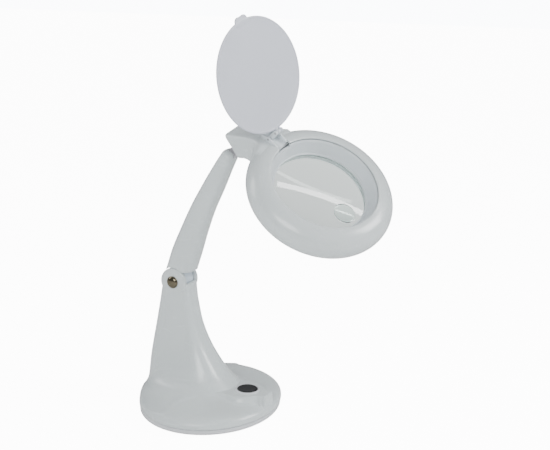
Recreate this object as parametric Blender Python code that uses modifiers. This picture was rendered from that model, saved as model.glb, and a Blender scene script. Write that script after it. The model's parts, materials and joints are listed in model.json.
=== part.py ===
"""Desk magnifier lamp: weighted base and column, folding arm, tilting and rolling lamp head,
and a lens cover on a two-pin link. Metres, +Z up, front of the lamp towards -Y.
The origin is the middle of the base, on the table."""

import math

import bmesh
import bpy
from mathutils import Matrix, Vector

MM = 0.001
GAP = 0.3  # clearance between pieces that rest against each other
WALL = 2.4  # moulded shell wall

# Base and column, millimetres
BASE_RX, BASE_RY = 91.4, 80.6
SEAM_Z = 9.0  # top of the lower pan
PAD_T = 1.5
DISH_Z = 24.0  # top of the base beside the switch tongue
TONGUE_Z, TONGUE_HALF_W, TONGUE_FRONT = 29.5, 26.5, -69.0
BUTTON_Y, BUTTON_R, BUTTON_STAND, BUTTON_H = -49.0, 11.8, 3.2, 9.0
BUTTON_TRAVEL = 2.0
COLUMN_HALF_W = 14.9
PAN_FLOOR = PAD_T + GAP  # underside of the pan
PAD_INSET = 9.0  # from the rim of the base to the rim of the pad
WEIGHT_HALF_X, WEIGHT_FRONT, WEIGHT_REAR, WEIGHT_T = 69.0, -62.0, 66.0, 9.0
WEIGHT_LOW = PAN_FLOOR + WALL + GAP
BALLAST_BOX = (20.0, 8.0, 52.0, 32.0)  # half width, front, rear, top of the electronics
SCREW_X, SCREW_Y, SCREW_R, SCREW_HEAD_R, SCREW_TOP = 74.0, 22.0, 1.5, 3.0, 16.0
INLET_R, INLET_BORE_R, INLET_Z = 4.4, 2.6, 15.0
REAR_COVER_HALF_W, REAR_COVER_Z0, REAR_COVER_Z1 = 8.5, 52.0, 116.0

# Folding joint between column and arm
PIVOT_Y, PIVOT_Z = 42.1, 150.2
EAR_R, EAR_T = 16.4, 4.3
KNUCKLE_R, WASHER_T = 13.4, 0.8
PIVOT_BOLT_R, PIN_CAP_R, PIN_CAP_H, CAP_RIM = 3.0, 7.2, 3.4, 0.8
WASHER_R = 9.0
ARM_FOOT = 13.0  # lower edge of the arm above the joint

# Arm: (front y, front z, rear y, rear z, half width) of each section, bottom to tip
ARM_SECTIONS = (
    (24.0, 150.0, 60.0, 156.0, 14.9),
    (19.6, 169.0, 53.6, 168.0, 15.2),
    (14.2, 185.5, 45.6, 190.5, 15.4),
    (6.6, 210.0, 34.4, 215.5, 15.2),
    (-3.2, 237.0, 19.8, 244.0, 14.8),
    (-15.0, 262.5, 3.8, 271.5, 14.2),
    (-25.4, 284.0, -9.2, 293.0, 13.4),
    (-32.0, 296.5, -17.6, 305.5, 12.6),
    (-35.6, 304.6, -23.6, 311.6, 11.0),
    (-35.4, 308.6, -28.2, 312.6, 8.0),
)

# Head joint, at the tip of the arm
TILT_Y, TILT_Z = -39.5, 320.5
TILT_DEG, ROLL_DEG = 34.3, 23.5  # pose of the head as it stands
TONGUE_R, TONGUE_HALF_T, TONGUE_HALF_X = 6.0, 4.2, 5.0
BEARING_FRONT, BEARING_BACK, STEM_END = 93.6, 98.6, 95.4  # behind the middle of the lens opening
NECK_WASHER_T, FORK_EAR_T, NECK_PIN_R, STEM_R = 0.7, 3.0, 2.0, 4.0
CLIP_R, CLIP_T = 5.6, 1.2
HEAD_BACK, HEAD_DROP = 106.8, 37.1  # joint behind, and below, the middle of the lens opening

# Head: radii from the lens axis and heights above the plane of the opening
OPENING_R, RING_MID_R, RING_W, RING_H, RING_MID_N = 58.1, 58.5, 21.5, 19.0, -17.0
PARTING_DEG, LIP_DEG = -36.0, -66.0  # upper and lower edge of the lower ring, as angles round the section
LENS_VISIBLE_R, LENS_R, LENS_TOP_N, LENS_EDGE_T, LENS_CROWN = 50.0, 52.7, -17.2, 3.2, 2.4
RECESS_FOOT_R, RECESS_FOOT_N = 57.2, -25.0
INSET_R, INSET_FORWARD, INSET_DEEP, INSET_CROWN = 11.5, 34.5, 1.6, 1.2
TUBE_RING_R, TUBE_R, TUBE_GAP_DEG, TUBE_N = 66.5, 6.2, 26.0, -23.6
HOOD_HALF_W, HOOD_FLANGE = 16.0, 0.5
POCKET_FLOOR = -3.4  # pocket for the link of the cover
HOOD_REAR_TOP, HOOD_LOWER = (121.0, -30.7), (93.3, -44.6)

# Lens cover and its link
COVER_R, COVER_T = 59.6, 2.0
LINK_LOWER = (74.6, 1.7)  # behind and above the middle of the opening
LINK_L, LINK_LEAN_DEG, COVER_LEAN_DEG = 11.4, -17.6, 44.6  # from the head's own up, backwards
LINK_HALF_W, LINK_KNUCKLE_R, LINK_PIN_R, LINK_SLOT_HALF = 5.6, 2.6, 1.0, 1.0
LINK_EAR_X, LINK_EAR_HALF = 2.4, 0.7
LUG_L = 3.6  # from the edge of the cover to its pin
RAIL_HALF_GAP, RAIL_T, RAIL_FRONT, RAIL_REAR = 6.4, 2.2, 61.0, 83.0

ROUND = 36  # facets of a large round piece
SMALL_ROUND = 20


# ---------------------------------------------------------------- scene helpers
def clear_scene():
    for obj in list(bpy.data.objects):
        bpy.data.objects.remove(obj, do_unlink=True)


def new_collection(name):
    collection = bpy.data.collections.new(name)
    bpy.context.scene.collection.children.link(collection)
    return collection


def new_material(name, rgb, roughness, metallic=0.0, transmission=0.0):
    material = bpy.data.materials.new(name)
    material.use_nodes = True
    shader = material.node_tree.nodes["Principled BSDF"]
    shader.inputs["Base Color"].default_value = (*rgb, 1.0)
    shader.inputs["Roughness"].default_value = roughness
    shader.inputs["Metallic"].default_value = metallic
    shader.inputs["Transmission Weight"].default_value = transmission
    material.diffuse_color = (*rgb, 1.0)
    return material


def mm(*values):
    return Vector(values) * MM


def new_empty(name, location, parent=None, rotation=(0.0, 0.0, 0.0)):
    empty = bpy.data.objects.new(name, None)
    empty.location = location
    empty.rotation_euler = rotation
    empty.parent = parent
    PARTS.objects.link(empty)
    return empty


def add_object(name, bm, material=None, parent=None, origin=(0.0, 0.0, 0.0)):
    """Object with the mesh of bm, given in its parent's frame in millimetres."""
    bmesh.ops.recalc_face_normals(bm, faces=bm.faces)
    if bm.calc_volume(signed=True) < 0:
        bmesh.ops.reverse_faces(bm, faces=bm.faces)
    mesh = bpy.data.meshes.new(name)
    bm.transform(Matrix.Scale(MM, 4) @ Matrix.Translation(-Vector(origin)))
    bm.to_mesh(mesh)
    bm.free()
    obj = bpy.data.objects.new(name, mesh)
    obj.location = mm(*origin)
    obj.parent = parent
    if material is None:
        CUTTERS.objects.link(obj)
        obj.hide_render = True
        obj.display_type = "WIRE"
    else:
        PARTS.objects.link(obj)
        mesh.materials.append(material)
        mesh.shade_smooth()
        mesh.set_sharp_from_angle(angle=math.radians(35))
    return obj


def boolean(obj, cutter, operation="DIFFERENCE", solver="EXACT"):
    modifier = obj.modifiers.new(operation.title() + " " + cutter.name, "BOOLEAN")
    modifier.operation = operation
    modifier.solver = solver  # MANIFOLD where EXACT leaves an open edge
    modifier.object = cutter


def bevel(obj, width, segments=2, angle=35):
    modifier = obj.modifiers.new("Bevel", "BEVEL")
    modifier.width = width * MM
    modifier.segments = segments
    modifier.limit_method = "ANGLE"
    modifier.angle_limit = math.radians(angle)
    modifier.use_clamp_overlap = True


# ---------------------------------------------------------------- shape helpers, in millimetres
def box_mesh(low, high):
    bm = bmesh.new()
    size = [b - a for a, b in zip(low, high)]
    middle = [(a + b) / 2 for a, b in zip(low, high)]
    bmesh.ops.create_cube(bm, size=1.0)
    bm.transform(Matrix.Translation(middle) @ Matrix.Diagonal((*size, 1.0)))
    return bm


def cylinder_mesh(radius, start, end, segments=SMALL_ROUND, end_radius=None):
    """Cylinder, or cone, from start to end."""
    start, end = Vector(start), Vector(end)
    along = end - start
    bm = bmesh.new()
    bmesh.ops.create_cone(
        bm, cap_ends=True, segments=segments, radius1=radius,
        radius2=radius if end_radius is None else end_radius, depth=along.length,
    )
    turn = along.to_track_quat("Z", "Y").to_matrix().to_4x4()
    bm.transform(Matrix.Translation((start + end) / 2) @ turn)
    return bm


def evaluated_mesh(data, modify=None):
    """Mesh of a scratch object made from this data, after its modifiers, with its doubles merged."""
    helper = bpy.data.objects.new("scratch", data)
    bpy.context.scene.collection.objects.link(helper)
    if modify:
        modify(helper)
    graph = bpy.context.evaluated_depsgraph_get()
    mesh = bpy.data.meshes.new_from_object(helper.evaluated_get(graph))
    bm = bmesh.new()
    bm.from_mesh(mesh)
    bmesh.ops.remove_doubles(bm, verts=bm.verts, dist=1e-4)
    bpy.data.meshes.remove(mesh)
    bpy.data.objects.remove(helper, do_unlink=True)
    return bm


def turned_mesh(profile, steps=ROUND, closed=True):
    """Solid turned about Z from a (radius, height) outline. An open outline starts and ends on the axis."""
    mesh = bpy.data.meshes.new("outline")
    edges = [(i, i + 1) for i in range(len(profile) - 1)]
    if closed:
        edges.append((len(profile) - 1, 0))
    mesh.from_pydata([(r, 0.0, n) for r, n in profile], edges, [])

    def turn(helper):
        screw = helper.modifiers.new("Turn", "SCREW")
        screw.steps = screw.render_steps = steps
        screw.use_merge_vertices = True
        screw.merge_threshold = 1e-4

    return evaluated_mesh(mesh, turn)


def new_curve(points, dimensions, cyclic):
    """Curve with one straight-sided spline."""
    curve = bpy.data.curves.new("outline", "CURVE")
    curve.dimensions = dimensions
    spline = curve.splines.new("POLY")
    spline.points.add(len(points) - 1)
    for spot, place in zip(spline.points, points):
        spot.co = (*place, 1.0)
    spline.use_cyclic_u = cyclic
    return curve


def prism_mesh(outline, half_width, axis="X"):
    """Flat outline in the plane across an axis, made half_width thick each way."""
    curve = new_curve([(a, b, 0.0) for a, b in outline], "2D", True)
    curve.fill_mode = "BOTH"
    curve.extrude = half_width
    bm = evaluated_mesh(curve)
    bmesh.ops.dissolve_limit(bm, angle_limit=math.radians(0.1), verts=bm.verts, edges=bm.edges)
    turn = {
        "X": ((0, 0, 1), (1, 0, 0), (0, 1, 0)),
        "Y": ((1, 0, 0), (0, 0, 1), (0, 1, 0)),
        "Z": ((1, 0, 0), (0, 1, 0), (0, 0, 1)),
    }[axis]
    bm.transform(Matrix(turn).to_4x4())
    return bm


def plate_mesh(outline, low, high):
    """Level plate on an (x, y) outline, from one height to another."""
    bm = prism_mesh(outline, (high - low) / 2, "Z")
    bm.transform(Matrix.Translation((0, 0, (low + high) / 2)))
    return bm


def tube_mesh(path, radius):
    """Round tube along a path, capped at both ends."""
    curve = new_curve(path, "3D", False)
    curve.bevel_depth = radius
    curve.bevel_resolution = 3
    curve.use_fill_caps = True
    return evaluated_mesh(curve)


def loft_mesh(rings):
    """Surface through rings of equal length, capped at both ends, for sections that differ in shape."""
    bm = bmesh.new()
    rows = [[bm.verts.new(point) for point in ring] for ring in rings]
    count = len(rows[0])
    for low, high in zip(rows, rows[1:]):
        for i in range(count):
            j = (i + 1) % count
            bm.faces.new((low[i], low[j], high[j], high[i]))
    bm.faces.new(rows[0][::-1])
    bm.faces.new(rows[-1])
    return bm


def arc(centre, radius, start_deg, end_deg, count):
    """Points (a, b) along an arc."""
    step = (end_deg - start_deg) / (count - 1)
    angles = [math.radians(start_deg + step * k) for k in range(count)]
    return [(centre[0] + radius * math.cos(t), centre[1] + radius * math.sin(t)) for t in angles]


def rounded(a, b, power, count=ROUND):
    """Superellipse points (u, v): power 2 is an ellipse, 4 nearly a box."""
    points = []
    for k in range(count):
        t = 2 * math.pi * (k + 0.5) / count
        c, s = math.cos(t), math.sin(t)
        points.append((math.copysign(a * abs(c) ** (2 / power), c),
                       math.copysign(b * abs(s) ** (2 / power), s)))
    return points


def level_ring(half_x, front, rear, z, power=2.0, count=ROUND):
    middle = (front + rear) / 2
    return [(x, middle + y, z) for x, y in rounded(half_x, (rear - front) / 2, power, count)]


def ellipse(half_x, front, rear, count=ROUND):
    """Level ellipse between a front and a rear line."""
    middle = (front + rear) / 2
    return [(x, middle + y) for x, y in rounded(half_x, (rear - front) / 2, 2.0, count)]


def dome_mesh(radius, height, base, direction, steps=SMALL_ROUND, rows=4):
    """Low dome on the plane through base, bulging along direction, with a short straight rim."""
    crown = arc((0.0, 0.0), 1.0, 0, 90, rows + 1)
    profile = [(0.0, 0.0), (radius, 0.0)]
    profile += [(radius * a, CAP_RIM + (height - CAP_RIM) * b) for a, b in crown[:-1]]
    profile.append((0.0, height))
    bm = turned_mesh(profile, steps, closed=False)
    turn = Vector(direction).to_track_quat("Z", "Y").to_matrix().to_4x4()
    bm.transform(Matrix.Translation(base) @ turn)
    return bm


# ---------------------------------------------------------------- base and column
def column_rings(inset=0.0, top=None):
    """Level outlines of the column, from its foot on the base up to the joint."""
    levels = (
        (26.2, 40.0, -38.0, 79.0, 2.2),
        (29.0, 35.5, -33.0, 78.6, 2.3),
        (35.8, 30.0, -26.5, 78.0, 2.5),
        (43.0, 26.2, -18.0, 77.4, 2.7),
        (54.0, 22.6, -8.6, 76.4, 3.0),
        (75.0, 18.6, 5.0, 72.9, 3.4),
        (100.0, 16.2, 16.0, 68.0, 4.0),
        (125.0, 15.1, 22.0, 63.0, 4.6),
        (PIVOT_Z - 1.0, COLUMN_HALF_W, 24.6, 58.6, 5.0),
    )
    rings = []
    for z, half, front, rear, power in levels:
        if top is None or z <= top:
            rings.append(level_ring(half - inset, front + inset, rear - inset, z, power))
    return rings


def base_rings(inset=0.0, drop=0.0):
    """Level outlines of the dished top of the base, from the seam to the foot of the column."""
    levels = (
        (SEAM_Z, 1.0), (11.0, 0.0), (14.5, 0.3), (18.0, 3.0), (20.4, 7.5), (22.4, 15.0),
        (DISH_Z, 26.0),
    )
    rings = []
    for z, in_by in levels:
        rear = BASE_RY - min(in_by, 2.0 + in_by * 0.06) - inset
        rings.append(level_ring(BASE_RX - in_by - inset, -BASE_RY + in_by + inset, rear,
                                z - drop, 2.0))
    return rings


def make_base_shell():
    """Base top and column in one moulding, open underneath, with a fork at the top of the column."""
    shell = add_object("base_shell", loft_mesh(base_rings() + column_rings()), WHITE, BASE)
    hollow = base_rings(inset=WALL, drop=WALL)
    hollow[0] = level_ring(BASE_RX - 3.4, -BASE_RY + 3.4, BASE_RY - 3.4, SEAM_Z - 4.0)
    top = 127.0
    inner = column_rings(inset=WALL, top=top)
    inner = [[(x, y, z - (WALL if z < 40 else 0.0)) for x, y, z in ring] for ring in inner]
    boolean(shell, add_object("cut_base_hollow", loft_mesh(hollow + inner), None, BASE))

    tongue = add_object("join_switch_tongue", tongue_mesh(0.0, SEAM_Z + 9.0, TONGUE_Z), None, BASE)
    tongue_hollow = tongue_mesh(WALL, SEAM_Z + 8.0, TONGUE_Z - WALL)
    ears = cylinder_mesh(EAR_R, (-COLUMN_HALF_W, PIVOT_Y, PIVOT_Z), (COLUMN_HALF_W, PIVOT_Y, PIVOT_Z),
                         ROUND)
    boolean(shell, tongue, "UNION")
    boolean(shell, add_object("cut_tongue_hollow", tongue_hollow, None, BASE))
    boolean(shell, add_object("join_ears", ears, None, BASE), "UNION")

    slot = fork_half_gap()
    clear_r = KNUCKLE_R + 0.9
    fork = box_mesh((-slot, PIVOT_Y - clear_r, PIVOT_Z - clear_r - 1.0),
                    (slot, PIVOT_Y + clear_r, PIVOT_Z + 30.0))
    boolean(shell, add_object("cut_fork", fork, None, BASE))
    over = box_mesh((-slot, PIVOT_Y - 30.0, PIVOT_Z - 0.8), (slot, PIVOT_Y + 30.0, PIVOT_Z + 30.0))
    boolean(shell, add_object("cut_fork_top", over, None, BASE))
    bolt = cylinder_mesh(PIVOT_BOLT_R + GAP, (-30, PIVOT_Y, PIVOT_Z), (30, PIVOT_Y, PIVOT_Z))
    boolean(shell, add_object("cut_bolt_hole", bolt, None, BASE))
    wires = cylinder_mesh(3.5, (0, PIVOT_Y, top - 5.0), (0, PIVOT_Y, PIVOT_Z - clear_r + 2.0))
    boolean(shell, add_object("cut_wire_hole", wires, None, BASE))
    button = cylinder_mesh(BUTTON_R + 1.6, (0, BUTTON_Y, 15.0), (0, BUTTON_Y, 50.0), ROUND)
    boolean(shell, add_object("cut_button_hole", button, None, BASE))
    boolean(shell, add_object("cut_rear_opening", rear_cover_mesh(GAP, 5.0), None, BASE))
    inlet = cylinder_mesh(INLET_R + GAP, (0, 60.0, INLET_Z), (0, 90.0, INLET_Z))
    boolean(shell, add_object("cut_inlet", inlet, None, BASE))


def tongue_mesh(inset, low, high):
    """Raised tongue round the switch: a half-round front on a body running back under the column."""
    half = TONGUE_HALF_W - inset
    front = arc((0.0, TONGUE_FRONT + TONGUE_HALF_W), half, 180, 360, 21)
    outline = front + [(half - 1.0, -20.0), (half + 4.0, 0.0), (-half - 4.0, 0.0), (1.0 - half, -20.0)]
    soft = 1.6
    lower = [(x, y, low) for x, y in outline]
    upper = [(x, y, high - soft) for x, y in outline]
    top = [(x * 0.95, y * 0.95 + 0.05 * BUTTON_Y, high) for x, y in outline]
    return loft_mesh([lower, upper, top])


def fork_half_gap():
    return COLUMN_HALF_W - EAR_T


def rear_cover_mesh(grow, depth_out):
    """Plate set in the back of the column, along its slope."""
    half = REAR_COVER_HALF_W + grow
    rear = {REAR_COVER_Z0: 76.6, REAR_COVER_Z1: 64.9}
    (z0, y0), (z1, y1) = sorted(rear.items())
    slope = (y1 - y0) / (z1 - z0)
    low, high = z0 - grow, z1 + grow
    y_low, y_high = y0 - slope * grow, y1 + slope * grow
    thick = 2.0
    back = thick + (0.6 if grow else 0.0) + (3.0 if grow else 0.0)
    outline = [(y_low - back, low), (y_low + depth_out, low), (y_high + depth_out, high),
               (y_high - back, high)]
    return prism_mesh(outline, half)


def make_pan_and_pad():
    """Lower pan with its hollow, and the pad that the lamp stands on. Returns both, for the screw holes."""
    pan_rings = [level_ring(BASE_RX - by, -BASE_RY + by, BASE_RY - by, z)
                 for z, by in ((PAN_FLOOR, 5.0), (PAN_FLOOR + 1.6, 2.2), (SEAM_Z - GAP, 1.0))]
    pan = add_object("base_pan", loft_mesh(pan_rings), PAN_WHITE, BASE)
    tray = [level_ring(BASE_RX - by, -BASE_RY + by, BASE_RY - by, z)
            for z, by in ((PAN_FLOOR + WALL, 8.0), (SEAM_Z + 6.0, 3.6))]
    boolean(pan, add_object("cut_tray", loft_mesh(tray), None, BASE))
    edge = PAD_INSET
    outline = ellipse(BASE_RX - edge, -BASE_RY + edge, BASE_RY - edge)
    pad = add_object("base_pad", plate_mesh(outline, 0.0, PAD_T), RUBBER, BASE)
    return pan, pad


def make_base_screws(pan, pad):
    """Four screws that hold the pan, each sunk in its own seat."""
    spots = [(side * SCREW_X, y) for side in (-1, 1) for y in (-SCREW_Y, SCREW_Y)]
    for index, (x, y) in enumerate(spots, 1):
        head = cylinder_mesh(SCREW_HEAD_R, (x, y, PAN_FLOOR), (x, y, PAN_FLOOR + 2.1), SMALL_ROUND)
        shank = cylinder_mesh(SCREW_R, (x, y, PAN_FLOOR + 0.7), (x, y, SCREW_TOP), 12)
        screw = add_object(f"base_screw_{index}", head, STEEL, BASE)
        boolean(screw, add_object(f"join_screw_shank_{index}", shank, None, BASE), "UNION")
        seat = cylinder_mesh(SCREW_HEAD_R + GAP, (x, y, -1.0), (x, y, PAN_FLOOR + 2.1 + GAP))
        hole = cylinder_mesh(SCREW_R + GAP, (x, y, -2.0), (x, y, SCREW_TOP - 2.0), 12)
        seat_cut = add_object(f"cut_screw_seat_{index}", seat, None, BASE)
        boolean(pan, seat_cut)
        boolean(pan, add_object(f"cut_screw_hole_{index}", hole, None, BASE))
        boolean(pad, seat_cut)


def make_base_contents():
    """Weight and lamp ballast inside the base, the cord inlet and the back plate of the column."""
    weight_top = WEIGHT_LOW + WEIGHT_T
    outline = ellipse(WEIGHT_HALF_X, WEIGHT_FRONT, WEIGHT_REAR)
    weight = add_object("ballast_weight", plate_mesh(outline, WEIGHT_LOW, weight_top), IRON, BASE)
    bevel(weight, 1.0, 1)
    x, front, rear, top = BALLAST_BOX
    electronics = add_object("lamp_ballast", box_mesh((-x, front, weight_top + GAP), (x, rear, top)), BOARD,
                             BASE)
    bevel(electronics, 1.0, 1)
    add_object("column_rear_cover", rear_cover_mesh(0.0, -0.1), WHITE, BASE)
    start, end = BASE_RY - 8.0, BASE_RY + 4.0
    gland = cylinder_mesh(INLET_R, (0, start, INLET_Z), (0, end, INLET_Z), SMALL_ROUND, INLET_R - 1.0)
    inlet = add_object("cord_inlet", gland, RUBBER_BLACK, BASE)
    bore = cylinder_mesh(INLET_BORE_R, (0, start - 12.0, INLET_Z), (0, end + 10.0, INLET_Z), 12)
    boolean(inlet, add_object("cut_inlet_bore", bore, None, BASE))


def make_switch():
    """Round push switch in the tongue: a bezel, a body below and the black button that travels."""
    sleeve, flange, foot = BUTTON_R + GAP, BUTTON_R + GAP + 1.0, TONGUE_Z - 4.0
    bezel_profile = [
        (BUTTON_R + 2.9, TONGUE_Z + GAP), (BUTTON_R + 2.9, TONGUE_Z + 0.9), (BUTTON_R + 1.9, TONGUE_Z + 1.7),
        (sleeve, TONGUE_Z + 1.7), (sleeve, foot), (flange, foot), (flange, TONGUE_Z + GAP),
    ]
    to_button = Matrix.Translation((0, BUTTON_Y, 0))
    bezel = turned_mesh(bezel_profile, 32)
    bezel.transform(to_button)
    add_object("switch_bezel", bezel, PAN_WHITE, BASE)
    top = TONGUE_Z + BUTTON_STAND
    low = top - BUTTON_H
    profile = [(0.0, low), (BUTTON_R, low), (BUTTON_R, top - 1.1), (0.93 * BUTTON_R, top - 0.35),
               (0.75 * BUTTON_R, top), (0.0, top)]
    button = turned_mesh(profile, 32, closed=False)
    button.transform(to_button)
    add_object("power_button", button, BLACK, BUTTON_AXIS)
    body = cylinder_mesh(BUTTON_R, (0, BUTTON_Y, WEIGHT_LOW + WEIGHT_T + GAP),
                         (0, BUTTON_Y, low - BUTTON_TRAVEL - GAP), 24)
    add_object("switch_body", body, RUBBER_BLACK, BASE)


def make_pivot_pieces():
    """Bolt, nut, washers and bright caps of the folding joint."""
    reach = COLUMN_HALF_W - 0.2
    bolt = cylinder_mesh(PIVOT_BOLT_R, (-reach, PIVOT_Y, PIVOT_Z), (reach, PIVOT_Y, PIVOT_Z))
    add_object("pivot_bolt", bolt, STEEL, BASE)
    for side, label in ((-1, "left"), (1, "right")):
        base = (side * (COLUMN_HALF_W + GAP), PIVOT_Y, PIVOT_Z)
        cap = dome_mesh(PIN_CAP_R, PIN_CAP_H, base, (side, 0, 0))
        add_object(f"pin_cap_{label}", cap, DARK_CHROME, BASE)
        inner = fork_half_gap() - GAP
        washer = turned_mesh([(WASHER_R, WASHER_T / 2), (WASHER_R, -WASHER_T / 2),
                              (PIVOT_BOLT_R + GAP, -WASHER_T / 2), (PIVOT_BOLT_R + GAP, WASHER_T / 2)], 24)
        turn = Matrix.Rotation(math.pi / 2, 4, "Y")
        washer.transform(Matrix.Translation((side * (inner - WASHER_T / 2), PIVOT_Y, PIVOT_Z)) @ turn)
        add_object(f"friction_washer_{label}", washer, RUBBER_BLACK, BASE)


# ---------------------------------------------------------------- arm
def arm_ring(section, inset=0.0, power=3.4, count=24):
    """One outline of the arm, across its length: a rounded box between its front and rear points."""
    front_y, front_z, rear_y, rear_z, half = section
    middle = Vector((front_y + rear_y, front_z + rear_z)) / 2
    across = Vector((rear_y - front_y, rear_z - front_z))
    half_deep = across.length / 2 - inset
    across.normalize()
    points = []
    for u, v in rounded(half - inset, half_deep, power, count):
        spot = middle + across * v
        points.append((u, spot.x, spot.y))
    return points


def arm_strip(sections, half_x, inner, outer):
    """Strip along the back of the arm, between two depths measured outwards from its rear line."""
    rings = []
    for front_y, front_z, rear_y, rear_z, _ in sections:
        across = Vector((rear_y - front_y, rear_z - front_z)).normalized()
        rear = Vector((rear_y, rear_z))
        a, b = rear + across * inner, rear + across * outer
        rings.append([(-half_x, a.x, a.y), (half_x, a.x, a.y), (half_x, b.x, b.y), (-half_x, b.x, b.y)])
    return loft_mesh(rings)


def between(first, second, share):
    return tuple(a + (b - a) * share for a, b in zip(first, second))


def tip_frame():
    """Unit vectors at the tip of the arm, in (y, z): down the arm, and towards its back."""
    down = Vector((0.526, -0.850)).normalized()
    return down, Vector((-down.y, down.x))


def tip_point(down_by, back_by):
    down, back = tip_frame()
    spot = Vector((TILT_Y, TILT_Z)) + down * down_by + back * back_by
    return (spot.x, spot.y)


def make_arm():
    """Arm moulding, its back strip, the knuckle at the bottom and the tongue at the tip."""
    arm = add_object("arm_shell", loft_mesh([arm_ring(s) for s in ARM_SECTIONS]), WHITE, ARM,
                     (0, PIVOT_Y, PIVOT_Z))
    below = tuple(a + (a - b) * 0.6 for a, b in zip(ARM_SECTIONS[0], ARM_SECTIONS[1]))
    hollow = [below] + list(ARM_SECTIONS[:8])
    boolean(arm, add_object("cut_arm_hollow", loft_mesh([arm_ring(s, WALL) for s in hollow]), None, ARM))
    room = cylinder_mesh(EAR_R + 0.8, (-30, PIVOT_Y, PIVOT_Z), (30, PIVOT_Y, PIVOT_Z), ROUND)
    boolean(arm, add_object("cut_arm_foot", room, None, ARM))
    below_joint = box_mesh((-30, PIVOT_Y - 60, PIVOT_Z - 60), (30, PIVOT_Y + 60, PIVOT_Z + ARM_FOOT))
    boolean(arm, add_object("cut_arm_below", below_joint, None, ARM))

    start = between(ARM_SECTIONS[1], ARM_SECTIONS[2], 0.8)
    end = between(ARM_SECTIONS[5], ARM_SECTIONS[6], 0.7)
    strip = [start, *ARM_SECTIONS[2:6], end]
    longer = [between(start, ARM_SECTIONS[1], 0.03), *strip[1:-1], between(end, ARM_SECTIONS[6], 0.06)]
    add_object("arm_rear_cover", arm_strip(strip, 8.5, -2.1, -0.15), WHITE, ARM)
    opening = arm_strip(longer, 8.5 + GAP, -4.5, 6.0)
    boolean(arm, add_object("cut_arm_rear", opening, None, ARM))

    side = fork_half_gap() - GAP - WASHER_T - GAP
    barrel = cylinder_mesh(KNUCKLE_R, (-side, PIVOT_Y, PIVOT_Z), (side, PIVOT_Y, PIVOT_Z), 32)
    knuckle = add_object("arm_knuckle", barrel, KNUCKLE_BLUE, ARM, (0, PIVOT_Y, PIVOT_Z))
    neck = prism_mesh([(PIVOT_Y - 11.0, PIVOT_Z), (PIVOT_Y + 9.0, PIVOT_Z), (PIVOT_Y + 3.5, 178.0),
                       (PIVOT_Y - 15.0, 176.0)], side - 0.6)
    boolean(knuckle, add_object("join_knuckle_neck", neck, None, ARM), "UNION")
    bolt = cylinder_mesh(PIVOT_BOLT_R + GAP, (-30, PIVOT_Y, PIVOT_Z), (30, PIVOT_Y, PIVOT_Z))
    boolean(knuckle, add_object("cut_knuckle_bore", bolt, None, ARM))

    disc = cylinder_mesh(TONGUE_R, (-TONGUE_HALF_X, TILT_Y, TILT_Z), (TONGUE_HALF_X, TILT_Y, TILT_Z), 24)
    tongue = add_object("arm_tongue", disc, STEEL, ARM)
    shank_outline = [tip_point(0, -TONGUE_HALF_T), tip_point(0, TONGUE_HALF_T),
                     tip_point(26, TONGUE_HALF_T), tip_point(26, -TONGUE_HALF_T)]
    boolean(tongue, add_object("join_tongue_shank", prism_mesh(shank_outline, TONGUE_HALF_X), None, ARM),
            "UNION")
    pin = cylinder_mesh(NECK_PIN_R + GAP, (-20, TILT_Y, TILT_Z), (20, TILT_Y, TILT_Z), 16)
    boolean(tongue, add_object("cut_tongue_bore", pin, None, ARM))
    room = TONGUE_HALF_T + GAP
    slot_outline = [tip_point(-5, -room), tip_point(-5, room), tip_point(30, room), tip_point(30, -room)]
    slot = prism_mesh(slot_outline, TONGUE_HALF_X + GAP)
    boolean(arm, add_object("cut_tongue_slot", slot, None, ARM))


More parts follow.
